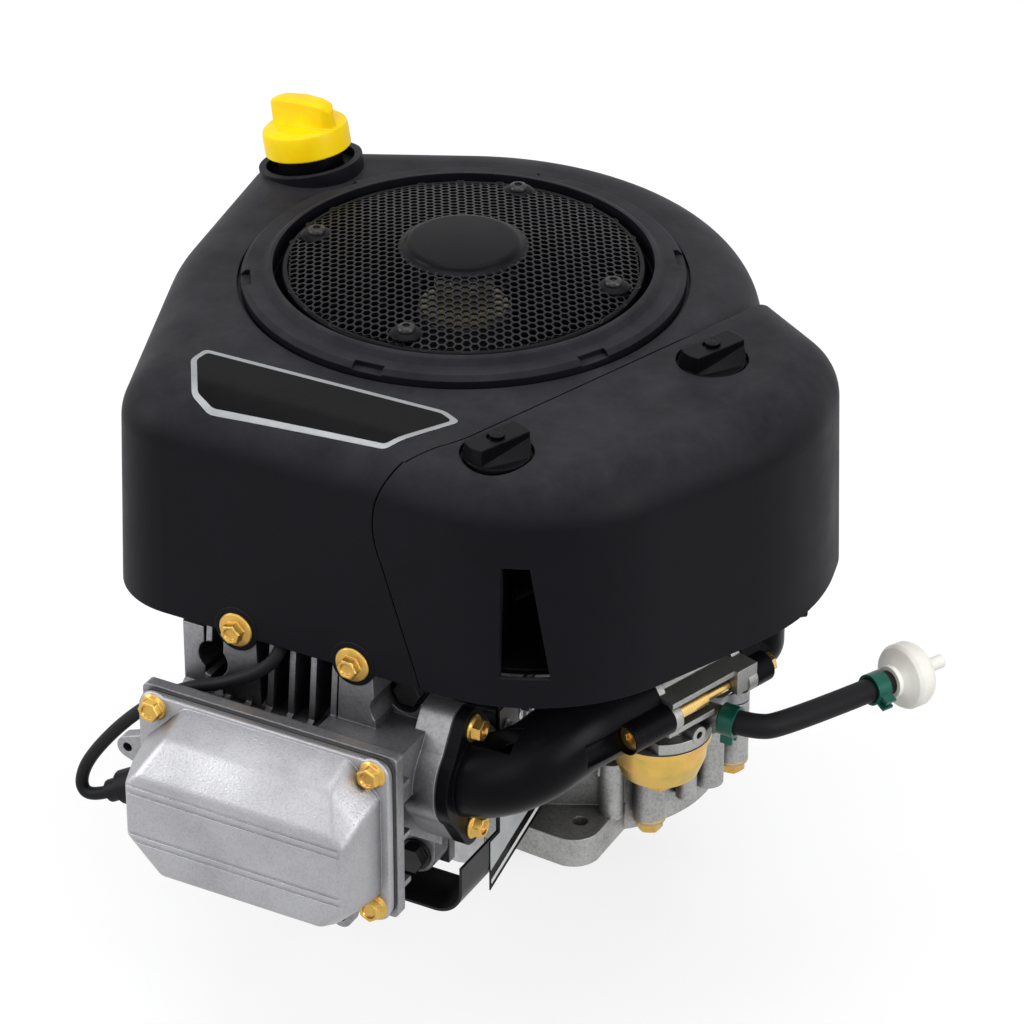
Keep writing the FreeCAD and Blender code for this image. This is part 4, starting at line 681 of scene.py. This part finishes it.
def reach_from_axis(tree):
    """Distance of each point from the upright axis through the origin."""
    spot = put(tree, "GeometryNodeInputPosition").outputs[0]
    flat = put(tree, "ShaderNodeVectorMath", {0: spot, 1: (1.0, 1.0, 0.0)}, operation="MULTIPLY").outputs[0]
    return put(tree, "ShaderNodeVectorMath", {0: flat}, operation="LENGTH").outputs["Value"]


def compared(tree, operation, first, second):
    return put(tree, "FunctionNodeCompare", {"A": first, "B": second}, operation=operation).outputs[0]


def moved(tree, geometry, offset):
    return put(tree, "GeometryNodeSetPosition", {"Geometry": geometry, "Offset": offset}).outputs[0]


def copies(tree, points, model, scale, **turn):
    """A copy of the model object on every point, made real."""
    shape = put(tree, "GeometryNodeObjectInfo", {"Object": model}).outputs["Geometry"]
    laid = put(tree, "GeometryNodeInstanceOnPoints", {
        "Points": points, "Instance": shape, "Scale": scale, **turn}).outputs[0]
    return put(tree, "GeometryNodeRealizeInstances", {"Geometry": laid}).outputs[0]


def finished(tree, geometry, given, out):
    """End of a tree: the material, then the output."""
    coated = put(tree, "GeometryNodeSetMaterial", {"Geometry": geometry, "Material": given["Material"]})
    tree.links.new(coated.outputs[0], out["Geometry"])
    return tree


def screen_tree():
    """Six-sided cells in staggered rows, cut to a ring and laid on the screen's low cone."""
    tree, given, out = new_tree("Perforated Screen", "GeometryNodeTree", {
        "Geometry": "Geometry", "Cell": "Object", "Pitch": 0.0047, "Sheet": 0.0012,
        "Inner Radius": 0.03, "Middle Radius": 0.08, "Outer Radius": 0.09, "Inner Level": 0.29,
        "Middle Level": 0.282, "Outer Level": 0.279, "Material": "Material"}, {"Geometry": "Geometry"})
    pitch = given["Pitch"]
    row_step = times(tree, pitch, ROW_SHARE)
    grid = put(tree, "GeometryNodeMeshGrid", {
        "Size X": times(tree, pitch, SCREEN_COLUMNS), "Vertices X": SCREEN_COLUMNS + 1,
        "Size Y": times(tree, row_step, SCREEN_ROWS), "Vertices Y": SCREEN_ROWS + 1})
    place = put(tree, "GeometryNodeInputPosition").outputs[0]
    height = put(tree, "ShaderNodeSeparateXYZ", {0: place}).outputs["Y"]
    row = math_node(tree, "ROUND", math_node(tree, "DIVIDE", height, row_step))
    odd = math_node(tree, "FLOORED_MODULO", row, 2.0)
    nudge = times(tree, times(tree, odd, pitch), 0.5)
    staggered = moved(tree, grid.outputs["Mesh"], vector(tree, X=nudge))
    radius = reach_from_axis(tree)
    outside = put(tree, "FunctionNodeBooleanMath", {
        0: compared(tree, "LESS_THAN", radius, given["Inner Radius"]),
        1: compared(tree, "GREATER_THAN", radius, given["Outer Radius"])}, operation="OR").outputs[0]
    kept = put(tree, "GeometryNodeDeleteGeometry", {
        "Geometry": staggered, "Selection": outside}, domain="POINT").outputs[0]
    sheet = copies(tree, kept, given["Cell"], vector(tree, X=pitch, Y=pitch, Z=given["Sheet"]))
    radius = reach_from_axis(tree)
    inner = span(tree, radius, given["Inner Radius"], given["Middle Radius"],
                 given["Inner Level"], given["Middle Level"])
    outer = span(tree, radius, given["Middle Radius"], given["Outer Radius"],
                 given["Middle Level"], given["Outer Level"])
    level = math_node(tree, "SUBTRACT", math_node(tree, "ADD", inner, outer), given["Middle Level"])
    return finished(tree, moved(tree, sheet, vector(tree, Z=level)), given, out)


def heads_tree():
    """A screw head on every point, turned along the point's own axis."""
    tree, given, out = new_tree("Screw Heads", "GeometryNodeTree", {
        "Geometry": "Geometry", "Head": "Object", "Width": 0.01, "Height": 0.006, "Seed": 3,
        "Material": "Material"}, {"Geometry": "Geometry"})
    axis = put(tree, "GeometryNodeInputNamedAttribute", {"Name": "axis"}, data_type="FLOAT_VECTOR").outputs[0]
    aimed = put(tree, "FunctionNodeAlignRotationToVector", {"Vector": axis}, axis="Z").outputs[0]
    turn = put(tree, "FunctionNodeRandomValue", {
        2: 0.0, 3: SIXTH_TURN, "Seed": given["Seed"]}, data_type="FLOAT").outputs[1]
    spin = put(tree, "FunctionNodeAxisAngleToRotation", {
        "Axis": (0.0, 0.0, 1.0), "Angle": turn}).outputs[0]
    both = put(tree, "FunctionNodeRotateRotation", {0: aimed, 1: spin}, rotation_space="LOCAL").outputs[0]
    size = vector(tree, X=given["Width"], Y=given["Width"], Z=given["Height"])
    heads = copies(tree, given["Geometry"], given["Head"], size, Rotation=both)
    return finished(tree, heads, given, out)


def run_tree(piece, tree, values):
    """Put a tree on a piece, set its inputs by their sockets, and keep the plain mesh."""
    modifier = piece.modifiers.new(tree.name, "NODES")
    modifier.node_group = tree
    for item in tree.interface.items_tree:
        if item.item_type == "SOCKET" and item.in_out == "INPUT" and item.name in values:
            modifier[item.identifier] = values[item.name]
    return frozen(piece)


# ---- screws
COVER_HEAD = 0.0066      # height of the valve cover's screw heads
SCREEN_HEAD = 0.0026     # height of the screen's screw heads


def flange_head(washer=0.70):
    """Hexagon head on its own washer, with a dished top; one unit across the flats and one high."""
    return revolved("flange_head", (
        (washer, 0.0, 0.0), (washer + 0.01, 0.10, 0.0), (washer - 0.04, 0.20, 0.0), (0.52, 0.27, 1.0),
        (0.5, 0.34, 1.0), (0.5, 0.88, 1.0), (0.475, 0.97, 0.7), (0.42, 1.0, 0.3), (0.36, 0.98, 0.0),
        (0.30, 0.80, 0.0), (0.0, 0.76, 0.0)), 36)


def wide_flange_head():
    """Hexagon head on a wide washer."""
    return flange_head(0.94)


def button_head():
    """Low round head with a six-sided socket."""
    return revolved("button_head", (
        (0.50, 0.0, 0.0), (0.50, 0.35, 0.0), (0.44, 0.75, 0.0), (0.30, 1.0, 0.0), (0.21, 1.0, 1.0),
        (0.19, 0.4, 1.0), (0.0, 0.36, 0.0)), 30)


# Piece, CAD group, body, way the heads point, width, height, head, finish, slot.
SCREWS = (
    ("sump_screw_heads", "sump_bolts", "engine", -Z_AXIS,
     0.0122, 0.0082, flange_head, "yellow zinc", "gold"),
    ("valve_cover_screw_heads", "valve_cover_bolts", "engine", -Y_AXIS,
     0.0104, COVER_HEAD, flange_head, "yellow zinc", "gold"),
    ("cowl_screw_heads", "cowl_bolts", "engine", -Y_AXIS,
     0.0098, 0.0066, wide_flange_head, "yellow zinc", "gold"),
    ("manifold_screw_heads", "manifold_bolts", "engine", X_AXIS,
     0.0100, 0.0066, flange_head, "yellow zinc", "gold"),
    ("shield_screw_heads", "shield_bolts", "engine", X_AXIS,
     0.0084, 0.0040, flange_head, "bright steel", "steel"),
    ("screen_screw_heads", "screen_screws", "rotor", Z_AXIS,
     0.0094, SCREEN_HEAD, button_head, "black oxide", "steel"),
)


def separate_boxes(node):
    """Lowest and highest corner and the points of each separate solid of a CAD group."""
    bm = bmesh.new()
    bm.from_mesh(NODES[node].data)
    bmesh.ops.remove_doubles(bm, verts=bm.verts, dist=1e-6)
    unseen = set(bm.verts)
    for first in bm.verts:
        if first not in unseen:
            continue
        unseen.discard(first)
        stack, points = [first], []
        while stack:
            vert = stack.pop()
            points.append(vert.co.copy())
            for edge in vert.link_edges:
                other = edge.other_vert(vert)
                if other in unseen:
                    unseen.discard(other)
                    stack.append(other)
        low = Vector(min(p[k] for p in points) for k in range(3))
        high = Vector(max(p[k] for p in points) for k in range(3))
        yield low, high, points
    bm.free()


def head_seats(node, way, head_height):
    """Where each screw of a CAD group has the underside of its head, and which way it points.

    Sideways screws point away from the middle of the engine.
    """
    seats = []
    for low, high, points in separate_boxes(node):
        centre = (low + high) / 2
        axis = -way if way.x and centre.x < 0 else way
        top = max(p.dot(axis) for p in points)
        seats.append((centre + axis * (top - centre.dot(axis) - head_height), axis))
    return seats


def screw_heads(name, node, way, width, height, prototype, finish_name):
    """All the heads of one CAD screw group as one piece."""
    seats = head_seats(node, way, height)
    mesh = bpy.data.meshes.new(name)
    mesh.from_pydata([seat for seat, axis in seats], [], [])
    attribute = mesh.attributes.new("axis", "FLOAT_VECTOR", "POINT")
    attribute.data.foreach_set("vector", [c for seat, axis in seats for c in axis])
    head = prototype()
    tree = bpy.data.node_groups.get("Screw Heads") or heads_tree()
    piece = run_tree(linked(name, mesh), tree, {
        "Head": head, "Width": width, "Height": height, "Seed": 7, "Material": finish(finish_name)})
    bpy.data.objects.remove(head)
    return smooth(piece, 30.0)


# ---- operators, one for each piece or group
class ENGINE_OT_carried(bpy.types.Operator):
    """Give every CAD piece that keeps its shape its finish"""
    bl_idname = "engine.carried_pieces"
    bl_label = "Finish CAD pieces"

    def execute(self, context):
        for name, nodes in CARRIED.items():
            for node in nodes:
                slots = NODES[node].data.materials
                slots.clear()
                slots.append(finish(name))
        return {"FINISHED"}


# Plan of the badge on the cowl's shoulder, clockwise from its left corner.
BADGE = ((-0.0752, -0.1262), (0.0580, -0.1230), (0.0692, -0.1285), (0.0482, -0.1640),
         (-0.0470, -0.1700), (-0.0600, -0.1640), (-0.0765, -0.1380))
# Cuts across the badge: way, place of the first, distance, how many.
BADGE_CUTS = ((Y_AXIS, -0.1725, 0.0025, 20), (X_AXIS, -0.0760, 0.0050, 30))
ABOVE_COWL = 0.35


class ENGINE_OT_badge(bpy.types.Operator):
    """Bare badge with its bright border on the cowl's shoulder"""
    bl_idname = "engine.badge"
    bl_label = "Cowl badge"

    def execute(self, context):
        cowl = NODES["blower_housing"].data
        skin = BVHTree.FromPolygons([v.co for v in cowl.vertices], [p.vertices for p in cowl.polygons])

        def lay(piece, lift):
            """Cut the plate into strips and lay every point on the cowl's shoulder."""
            bm = bmesh.new()
            bm.from_mesh(piece.data)
            for axis, first, step, count in BADGE_CUTS:
                for k in range(count):
                    whole = bm.verts[:] + bm.edges[:] + bm.faces[:]
                    bmesh.ops.bisect_plane(bm, geom=whole, plane_co=axis * (first + step * k), plane_no=axis)
            for vert in bm.verts:
                above = Vector((vert.co.x, vert.co.y, ABOVE_COWL))
                spot, normal = skin.ray_cast(above, -Z_AXIS)[:2]
                vert.co = spot + normal * (lift + vert.co.z)
            bm.to_mesh(piece.data)
            bm.free()
            return smooth(piece, 40.0)

        border = plate("cowl_badge_border", rounded_corners(BADGE, 0.0032), -0.0002, 0.0003)
        settle(lay(border, 0.0), "engine", "steel", "silver border")
        inner = inset(BADGE, sizes().badge_border)
        face = plate("cowl_badge_face", rounded_corners(inner, 0.0022), -0.0001, 0.0002)
        settle(lay(face, 0.0003), "engine", "charcoal", "badge face")
        return {"FINISHED"}


# Sections of the screen's solid parts, as radius and height; the pad's are from its screw's seat.
SCREEN_RIM = ((0.0888, 0.2790), (0.0898, 0.2793), (0.0908, 0.2791), (0.0916, 0.2784), (0.0920, 0.2772),
              (0.0920, 0.2735), (0.0908, 0.2735), (0.0908, 0.2766), (0.0902, 0.2774), (0.0888, 0.2777))
SCREEN_DISC = ((0.0, 0.2930), (0.0262, 0.2930), (0.0282, 0.2927), (0.0292, 0.2918), (0.0300, 0.2906),
               (0.0330, 0.2897), (0.0330, 0.2882), (0.0290, 0.2892), (0.0270, 0.2912), (0.0, 0.2912))
SCREEN_PAD = ((0.0, 0.0), (0.0062, 0.0), (0.0071, -0.0004), (0.0086, -0.0016), (0.0086, -0.0026),
              (0.0, -0.0026))


class ENGINE_OT_screen(bpy.types.Operator):
    """Rotating screen: rim, perforated sheet and plain centre disc"""
    bl_idname = "engine.screen"
    bl_label = "Rotating screen"

    def execute(self, context):
        chosen = sizes()
        cell = unit_cell(chosen.screen_hole / chosen.screen_pitch)
        start = linked("screen_sheet", bpy.data.meshes.new("screen_sheet"))
        sheet = run_tree(start, screen_tree(), {
            "Cell": cell, "Pitch": chosen.screen_pitch, "Sheet": 0.0012, "Inner Radius": 0.0305,
            "Middle Radius": 0.080, "Outer Radius": 0.0895, "Inner Level": 0.2897,
            "Middle Level": 0.2815, "Outer Level": 0.2786, "Material": finish("black screen")})
        bpy.data.objects.remove(cell)
        settle(sheet, "rotor", "black_plastic", "black screen", "rotating_screen")
        solids = [revolved("screen_rim", SCREEN_RIM, 128), revolved("screen_disc", SCREEN_DISC, 96)]
        for seat, axis in head_seats("screen_screws", Z_AXIS, SCREEN_HEAD):
            solids.append(revolved("screen_pad", SCREEN_PAD, 28, Matrix.Translation(seat)))
        settle(smooth(joined("screen_rim_and_disc", solids), 35.0), "rotor", "black_plastic", "black nylon")
        return {"FINISHED"}


class ENGINE_OT_screws(bpy.types.Operator):
    """Heads of the visible screws"""
    bl_idname = "engine.screws"
    bl_label = "Screws"

    def execute(self, context):
        for name, node, body, way, width, height, prototype, coat, slot in SCREWS:
            settle(screw_heads(name, node, way, width, height, prototype, coat), body, slot, coat, node)
        return {"FINISHED"}


# Outlines of the cover's box from root to face: y, x from and to, z from and to, and the cuts of the
# top left, top right, bottom right and bottom left corner.
COVER_SECTIONS = (
    (-0.2135, -0.0612, 0.0722, 0.0363, 0.1247, (0.0230, 0.0175, 0.0135, 0.0170)),
    (-0.2340, -0.0585, 0.0702, 0.0382, 0.1165, (0.0190, 0.0160, 0.0135, 0.0180)),
    (-0.2459, -0.0555, 0.0675, 0.0430, 0.0985, (0.0060, 0.0060, 0.0130, 0.0190)))
COVER_BOSS = ((0.0, 0.0008), (0.0070, 0.0008), (0.0080, 0.0003), (0.0086, -0.0008), (0.0, -0.0008))
FLANGE_BACK, FLANGE_FRONT = 0.2102, 0.2150
GROOVE_LEVELS = (0.0880, 0.0921, 0.0598, 0.0639)
GROOVE_SIZE = (0.16, 0.0015, 0.0014)


class ENGINE_OT_valve_cover(bpy.types.Operator):
    """Die-cast valve cover: flat flange, tapered box with soft edges, two pairs of grooves"""
    bl_idname = "engine.valve_cover"
    bl_label = "Valve cover"

    def execute(self, context):
        rings = []
        for y, x0, x1, z0, z1, (tl, tr, br, bl) in COVER_SECTIONS:
            rings.append([(x, y, z) for x, z in (
                (x0 + tl, z1), (x1 - tr, z1), (x1, z1 - tr), (x1, z0 + br),
                (x1 - br, z0), (x0 + bl, z0), (x0, z0 + bl), (x0, z1 - tl))])
        box = bevelled(solid("valve_cover_box", rings), sizes().cover_edge, 5, 12.0)
        for level in GROOVE_LEVELS:
            bm = bmesh.new()
            place = Matrix.Translation((0.006, -0.2461, level)) @ Matrix.Diagonal((*GROOVE_SIZE, 1.0))
            bmesh.ops.create_cube(bm, size=1.0, matrix=place)
            box = cut_away(box, link_mesh("groove", bm))
        low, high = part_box("valve_cover_gasket")
        outline = rounded_corners([(low.x, low.z), (high.x, low.z), (high.x, high.z), (low.x, high.z)], 0.009)
        upright = Matrix.Rotation(math.radians(90.0), 4, "X")
        flange = plate("valve_cover_flange", outline, FLANGE_BACK, FLANGE_FRONT, upright)
        pieces = [box, bevelled(flange, 0.0011, 3, 40.0)]
        for seat, axis in head_seats("valve_cover_bolts", -Y_AXIS, COVER_HEAD):
            turn = axis.to_track_quat("Z", "Y").to_matrix().to_4x4()
            place = Matrix.Translation(seat + Y_AXIS * 0.0002) @ turn
            pieces.append(revolved("valve_cover_boss", COVER_BOSS, 40, place))
        cover = smooth(joined("valve_cover_casting", pieces), 28.0)
        settle(cover, "engine", "cast", "die-cast cover", "valve_cover")
        return {"FINISHED"}


# The filler's mouth and the way it points, and the cap's seat above the mouth.
FILLER_MOUTH = Vector((-0.130, 0.070, 0.270))
FILLER_AXIS = Vector((-0.187, 0.037, 0.982)).normalized()
CAP_SEAT = 0.0145
CAP_SKIRT = ((0.0, 0.0026), (0.0180, 0.0026), (0.0182, -0.0035), (0.0222, -0.0035), (0.0228, -0.0029),
             (0.0228, 0.0072), (0.0222, 0.0096), (0.0205, 0.0110), (0.0180, 0.0115), (0.0, 0.0117))
# Sections along the cap's grip: place along it, foot, top, half its width.
CAP_GRIP = ((-0.0192, 0.0090, 0.0215, 0.0018), (-0.0180, 0.0072, 0.0236, 0.0046),
            (-0.0120, 0.0066, 0.0252, 0.0056), (0.0, 0.0066, 0.0258, 0.0060),
            (0.0120, 0.0066, 0.0252, 0.0056), (0.0185, 0.0066, 0.0236, 0.0046),
            (0.0212, 0.0072, 0.0205, 0.0018))
GRIP_TURN = math.radians(-12.0)


class ENGINE_OT_filler_cap(bpy.types.Operator):
    """Yellow filler cap with its finger grip"""
    bl_idname = "engine.filler_cap"
    bl_label = "Oil filler cap"

    def execute(self, context):
        turn = Z_AXIS.rotation_difference(FILLER_AXIS).to_matrix().to_4x4()
        place = Matrix.Translation(FILLER_MOUTH + FILLER_AXIS * CAP_SEAT) @ turn
        skirt = revolved("cap_skirt", CAP_SKIRT, 96, place)
        rings = []
        for x, low, high, half in CAP_GRIP:
            middle, shoulder = (low + high) / 2, high - 0.0012
            rings.append([(x, half * share, z) for share, z in (
                (-1.25, low), (1.25, low), (1.05, middle), (1.0, shoulder),
                (0.6, high), (-0.6, high), (-1.0, shoulder), (-1.05, middle))])
        grip = solid("cap_grip", rings, place @ Matrix.Rotation(GRIP_TURN, 4, "Z"))
        cap = smooth(joined("filler_cap_moulding", [skirt, bevelled(grip, 0.0010, 3, 12.0)]), 30.0)
        settle(cap, "filler_cap", "yellow", "yellow plastic", "oil_cap")
        return {"FINISHED"}


class ENGINE_OT_fuel_hose(bpy.types.Operator):
    """Fuel hose from the carburettor to the in-line filter"""
    bl_idname = "engine.fuel_hose"
    bl_label = "Fuel hose"

    def execute(self, context):
        route = ((0.1775, -0.0558, 0.0940), (0.1940, -0.0554, 0.0932), (0.2060, -0.0443, 0.0917),
                 (0.2336, 0.0216, 0.0882))
        hose = cord_curve("fuel_hose_rubber", route, sizes().hose_diameter)
        settle(hose, "engine", "rubber", "black rubber", "fuel_hose")
        return {"FINISHED"}


class ENGINE_OT_plug_lead(bpy.types.Operator):
    """Spark plug lead from under the cowl to its boot"""
    bl_idname = "engine.plug_lead"
    bl_label = "Spark plug lead"

    def execute(self, context):
        route = ((-0.0440, -0.1340, 0.1840), (-0.0220, -0.1500, 0.1720), (-0.0049, -0.1710, 0.1535),
                 (-0.0049, -0.1860, 0.1420), (-0.0310, -0.1870, 0.1250), (-0.0600, -0.1870, 0.1130),
                 (-0.0930, -0.1820, 0.0830), (-0.1200, -0.1800, 0.0490), (-0.1270, -0.1800, 0.0300),
                 (-0.1198, -0.1813, 0.0246), (-0.1076, -0.1804, 0.0317))
        lead = cord_curve("spark_plug_lead_rubber", route, sizes().lead_diameter)
        settle(lead, "engine", "rubber", "black rubber", "spark_plug_lead")
        return {"FINISHED"}


LABEL_FRONT, LABEL_STEP, LABEL_BACK = -0.1375, -0.1275, -0.0700    # across the shield, in y
LABEL_FOOT, LABEL_SLOPE = 0.0092, 0.326                             # height at the front, rise per length
LABEL_NOTCH, LABEL_TOP = 0.0392, 0.1120


class ENGINE_OT_shield_label(bpy.types.Operator):
    """Bare label with its border strip on the right cylinder shield"""
    bl_idname = "engine.shield_label"
    bl_label = "Shield label"

    def execute(self, context):
        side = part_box("cylinder_shield")[1].x
        stand = Matrix.Translation((side, 0.0, 0.0)) @ Matrix((Y_AXIS, Z_AXIS, X_AXIS)).transposed().to_4x4()

        def slope(y, rise):
            """Point of the label's lower edge, raised by this much."""
            return y, LABEL_FOOT + (y - LABEL_FRONT) * LABEL_SLOPE + rise

        edge = [slope(LABEL_FRONT, 0.0), slope(LABEL_BACK, 0.0), (LABEL_BACK, LABEL_TOP),
                (LABEL_STEP, LABEL_TOP), (LABEL_STEP, LABEL_NOTCH), (LABEL_FRONT, LABEL_NOTCH)]
        line = [slope(-0.1362, 0.0030), slope(-0.0720, 0.0030),
                slope(-0.0720, 0.0056), slope(-0.1362, 0.0056)]
        face = [slope(-0.1370, 0.0118), slope(-0.0705, 0.0118), (-0.0705, 0.1115), (-0.1270, 0.1115),
                (-0.1270, 0.0387), (-0.1370, 0.0387)]
        for name, points, low, high, slot, coat in (
                ("shield_label_edge", edge, -0.0002, 0.00025, "black_paint", "badge face"),
                ("shield_label_line", line, 0.0, 0.0004, "steel", "label line"),
                ("shield_label_face", face, 0.0, 0.0004, "steel", "label face")):
            piece = plate(name, rounded_corners(points, 0.0008), low, high, stand)
            settle(piece, "engine", slot, coat)
        return {"FINISHED"}


# Lamps: name, place, what they shine at, size, watts.
LAMPS = (
    ("overhead", (0.0, 0.1, 2.5), (0.0, 0.0, 0.1), 2.2, 31.0),
    ("left", (-2.3, -1.6, 1.2), (0.0, -0.05, 0.12), 1.6, 47.0),
    ("right", (2.6, -0.3, 1.2), (0.05, 0.0, 0.12), 1.4, 38.0),
    ("front", (0.4, -2.9, 1.6), (0.0, -0.1, 0.12), 2.0, 20.0))
CAMERA_TURN, CAMERA_TILT = math.radians(28.5), math.radians(31.2)
CAMERA_PLACE = (1.080186, -1.938449, 1.477097)
CAMERA_LENS = 175.78


def backdrop_colour(tree, dim, bright):
    """Bright for rays from the camera, a reflection or glass, and dim as light on the engine."""
    ray = put(tree, "ShaderNodeLightPath").outputs
    shiny = math_node(tree, "MAXIMUM", ray["Is Glossy Ray"], ray["Is Transmission Ray"])
    direct = math_node(tree, "MAXIMUM", ray["Is Camera Ray"], shiny)
    return put(tree, "ShaderNodeMixRGB", {0: direct, 1: rgba(dim), 2: rgba(bright)}).outputs[0]


class ENGINE_OT_stage(bpy.types.Operator):
    """Floor, soft lights and camera"""
    bl_idname = "engine.stage"
    bl_label = "Stage"

    def execute(self, context):
        scene = context.scene
        bm = bmesh.new()
        bmesh.ops.create_grid(bm, x_segments=2, y_segments=2, size=6.0)
        floor = link_mesh("floor", bm, Matrix.Translation((0.0, 0.0, CAD_BOX[0][2] - 0.0005)))
        tree, shader = blank_finish("floor", Roughness=0.9, Specular_IOR_Level=0.1,
                                    Base_Color=rgba(0.35), Emission_Strength=1.0)
        tree.links.new(backdrop_colour(tree, 0.0, 0.70), shader["Emission Color"])
        floor.data.materials.append(bpy.data.materials["floor"])

        scene.world = bpy.data.worlds.new("studio")
        scene.world.use_nodes = True
        sky = scene.world.node_tree
        background = sky.nodes["Background"].inputs
        sky.links.new(backdrop_colour(sky, (0.27, 0.27, 0.28), 1.0), background["Color"])
        background["Strength"].default_value = 1.0

        for name, place, aim, size, power in LAMPS:
            lamp = bpy.data.lights.new(name, "AREA")
            lamp.energy = power
            lamp.size = size
            holder = linked(name, lamp)
            holder.location = place
            holder.rotation_euler = (Vector(aim) - Vector(place)).to_track_quat("-Z", "Y").to_euler()

        level = math.cos(CAMERA_TILT)
        back = Vector((math.sin(CAMERA_TURN) * level, -math.cos(CAMERA_TURN) * level, math.sin(CAMERA_TILT)))
        side = Vector((math.cos(CAMERA_TURN), math.sin(CAMERA_TURN), 0.0))
        lens = bpy.data.cameras.new("camera")
        lens.sensor_width = 36.0
        lens.lens = CAMERA_LENS
        lens.clip_end = 50.0
        camera = linked("camera", lens)
        turn = Matrix((side, back.cross(side), back)).transposed()
        camera.matrix_world = Matrix.Translation(CAMERA_PLACE) @ turn.to_4x4()
        scene.camera = camera
        scene.view_settings.view_transform = "Standard"
        return {"FINISHED"}


OPERATORS = (ENGINE_OT_carried, ENGINE_OT_badge, ENGINE_OT_screen, ENGINE_OT_screws,
             ENGINE_OT_valve_cover, ENGINE_OT_filler_cap, ENGINE_OT_fuel_hose, ENGINE_OT_plug_lead,
             ENGINE_OT_shield_label, ENGINE_OT_stage)


class ENGINE_PT_panel(bpy.types.Panel):
    """Sizes, colours and pieces of the engine"""
    bl_label = "Engine"
    bl_idname = "ENGINE_PT_panel"
    bl_space_type = "VIEW_3D"
    bl_region_type = "UI"
    bl_category = "Engine"

    def draw(self, context):
        for group in (context.scene.engine_sizes, context.scene.engine_colours):
            box = self.layout.box()
            for name in group.__annotations__:
                box.prop(group, name)
        for operator in OPERATORS:
            self.layout.operator(operator.bl_idname)


CLASSES = (EngineSizes, EngineColours) + OPERATORS + (ENGINE_PT_panel,)


def register():
    for cls in CLASSES:
        bpy.utils.register_class(cls)
    bpy.types.Scene.engine_sizes = bpy.props.PointerProperty(type=EngineSizes)
    bpy.types.Scene.engine_colours = bpy.props.PointerProperty(type=EngineColours)


def unregister():
    del bpy.types.Scene.engine_colours
    del bpy.types.Scene.engine_sizes
    for cls in reversed(CLASSES):
        bpy.utils.unregister_class(cls)


def main():
    register()
    bpy.ops.engine.carried_pieces()
    bpy.ops.engine.badge()
    bpy.ops.engine.screen()
    bpy.ops.engine.screws()
    bpy.ops.engine.valve_cover()
    bpy.ops.engine.filler_cap()
    bpy.ops.engine.fuel_hose()
    bpy.ops.engine.plug_lead()
    bpy.ops.engine.shield_label()
    bpy.ops.engine.stage()


if __name__ == "__main__":
    main()
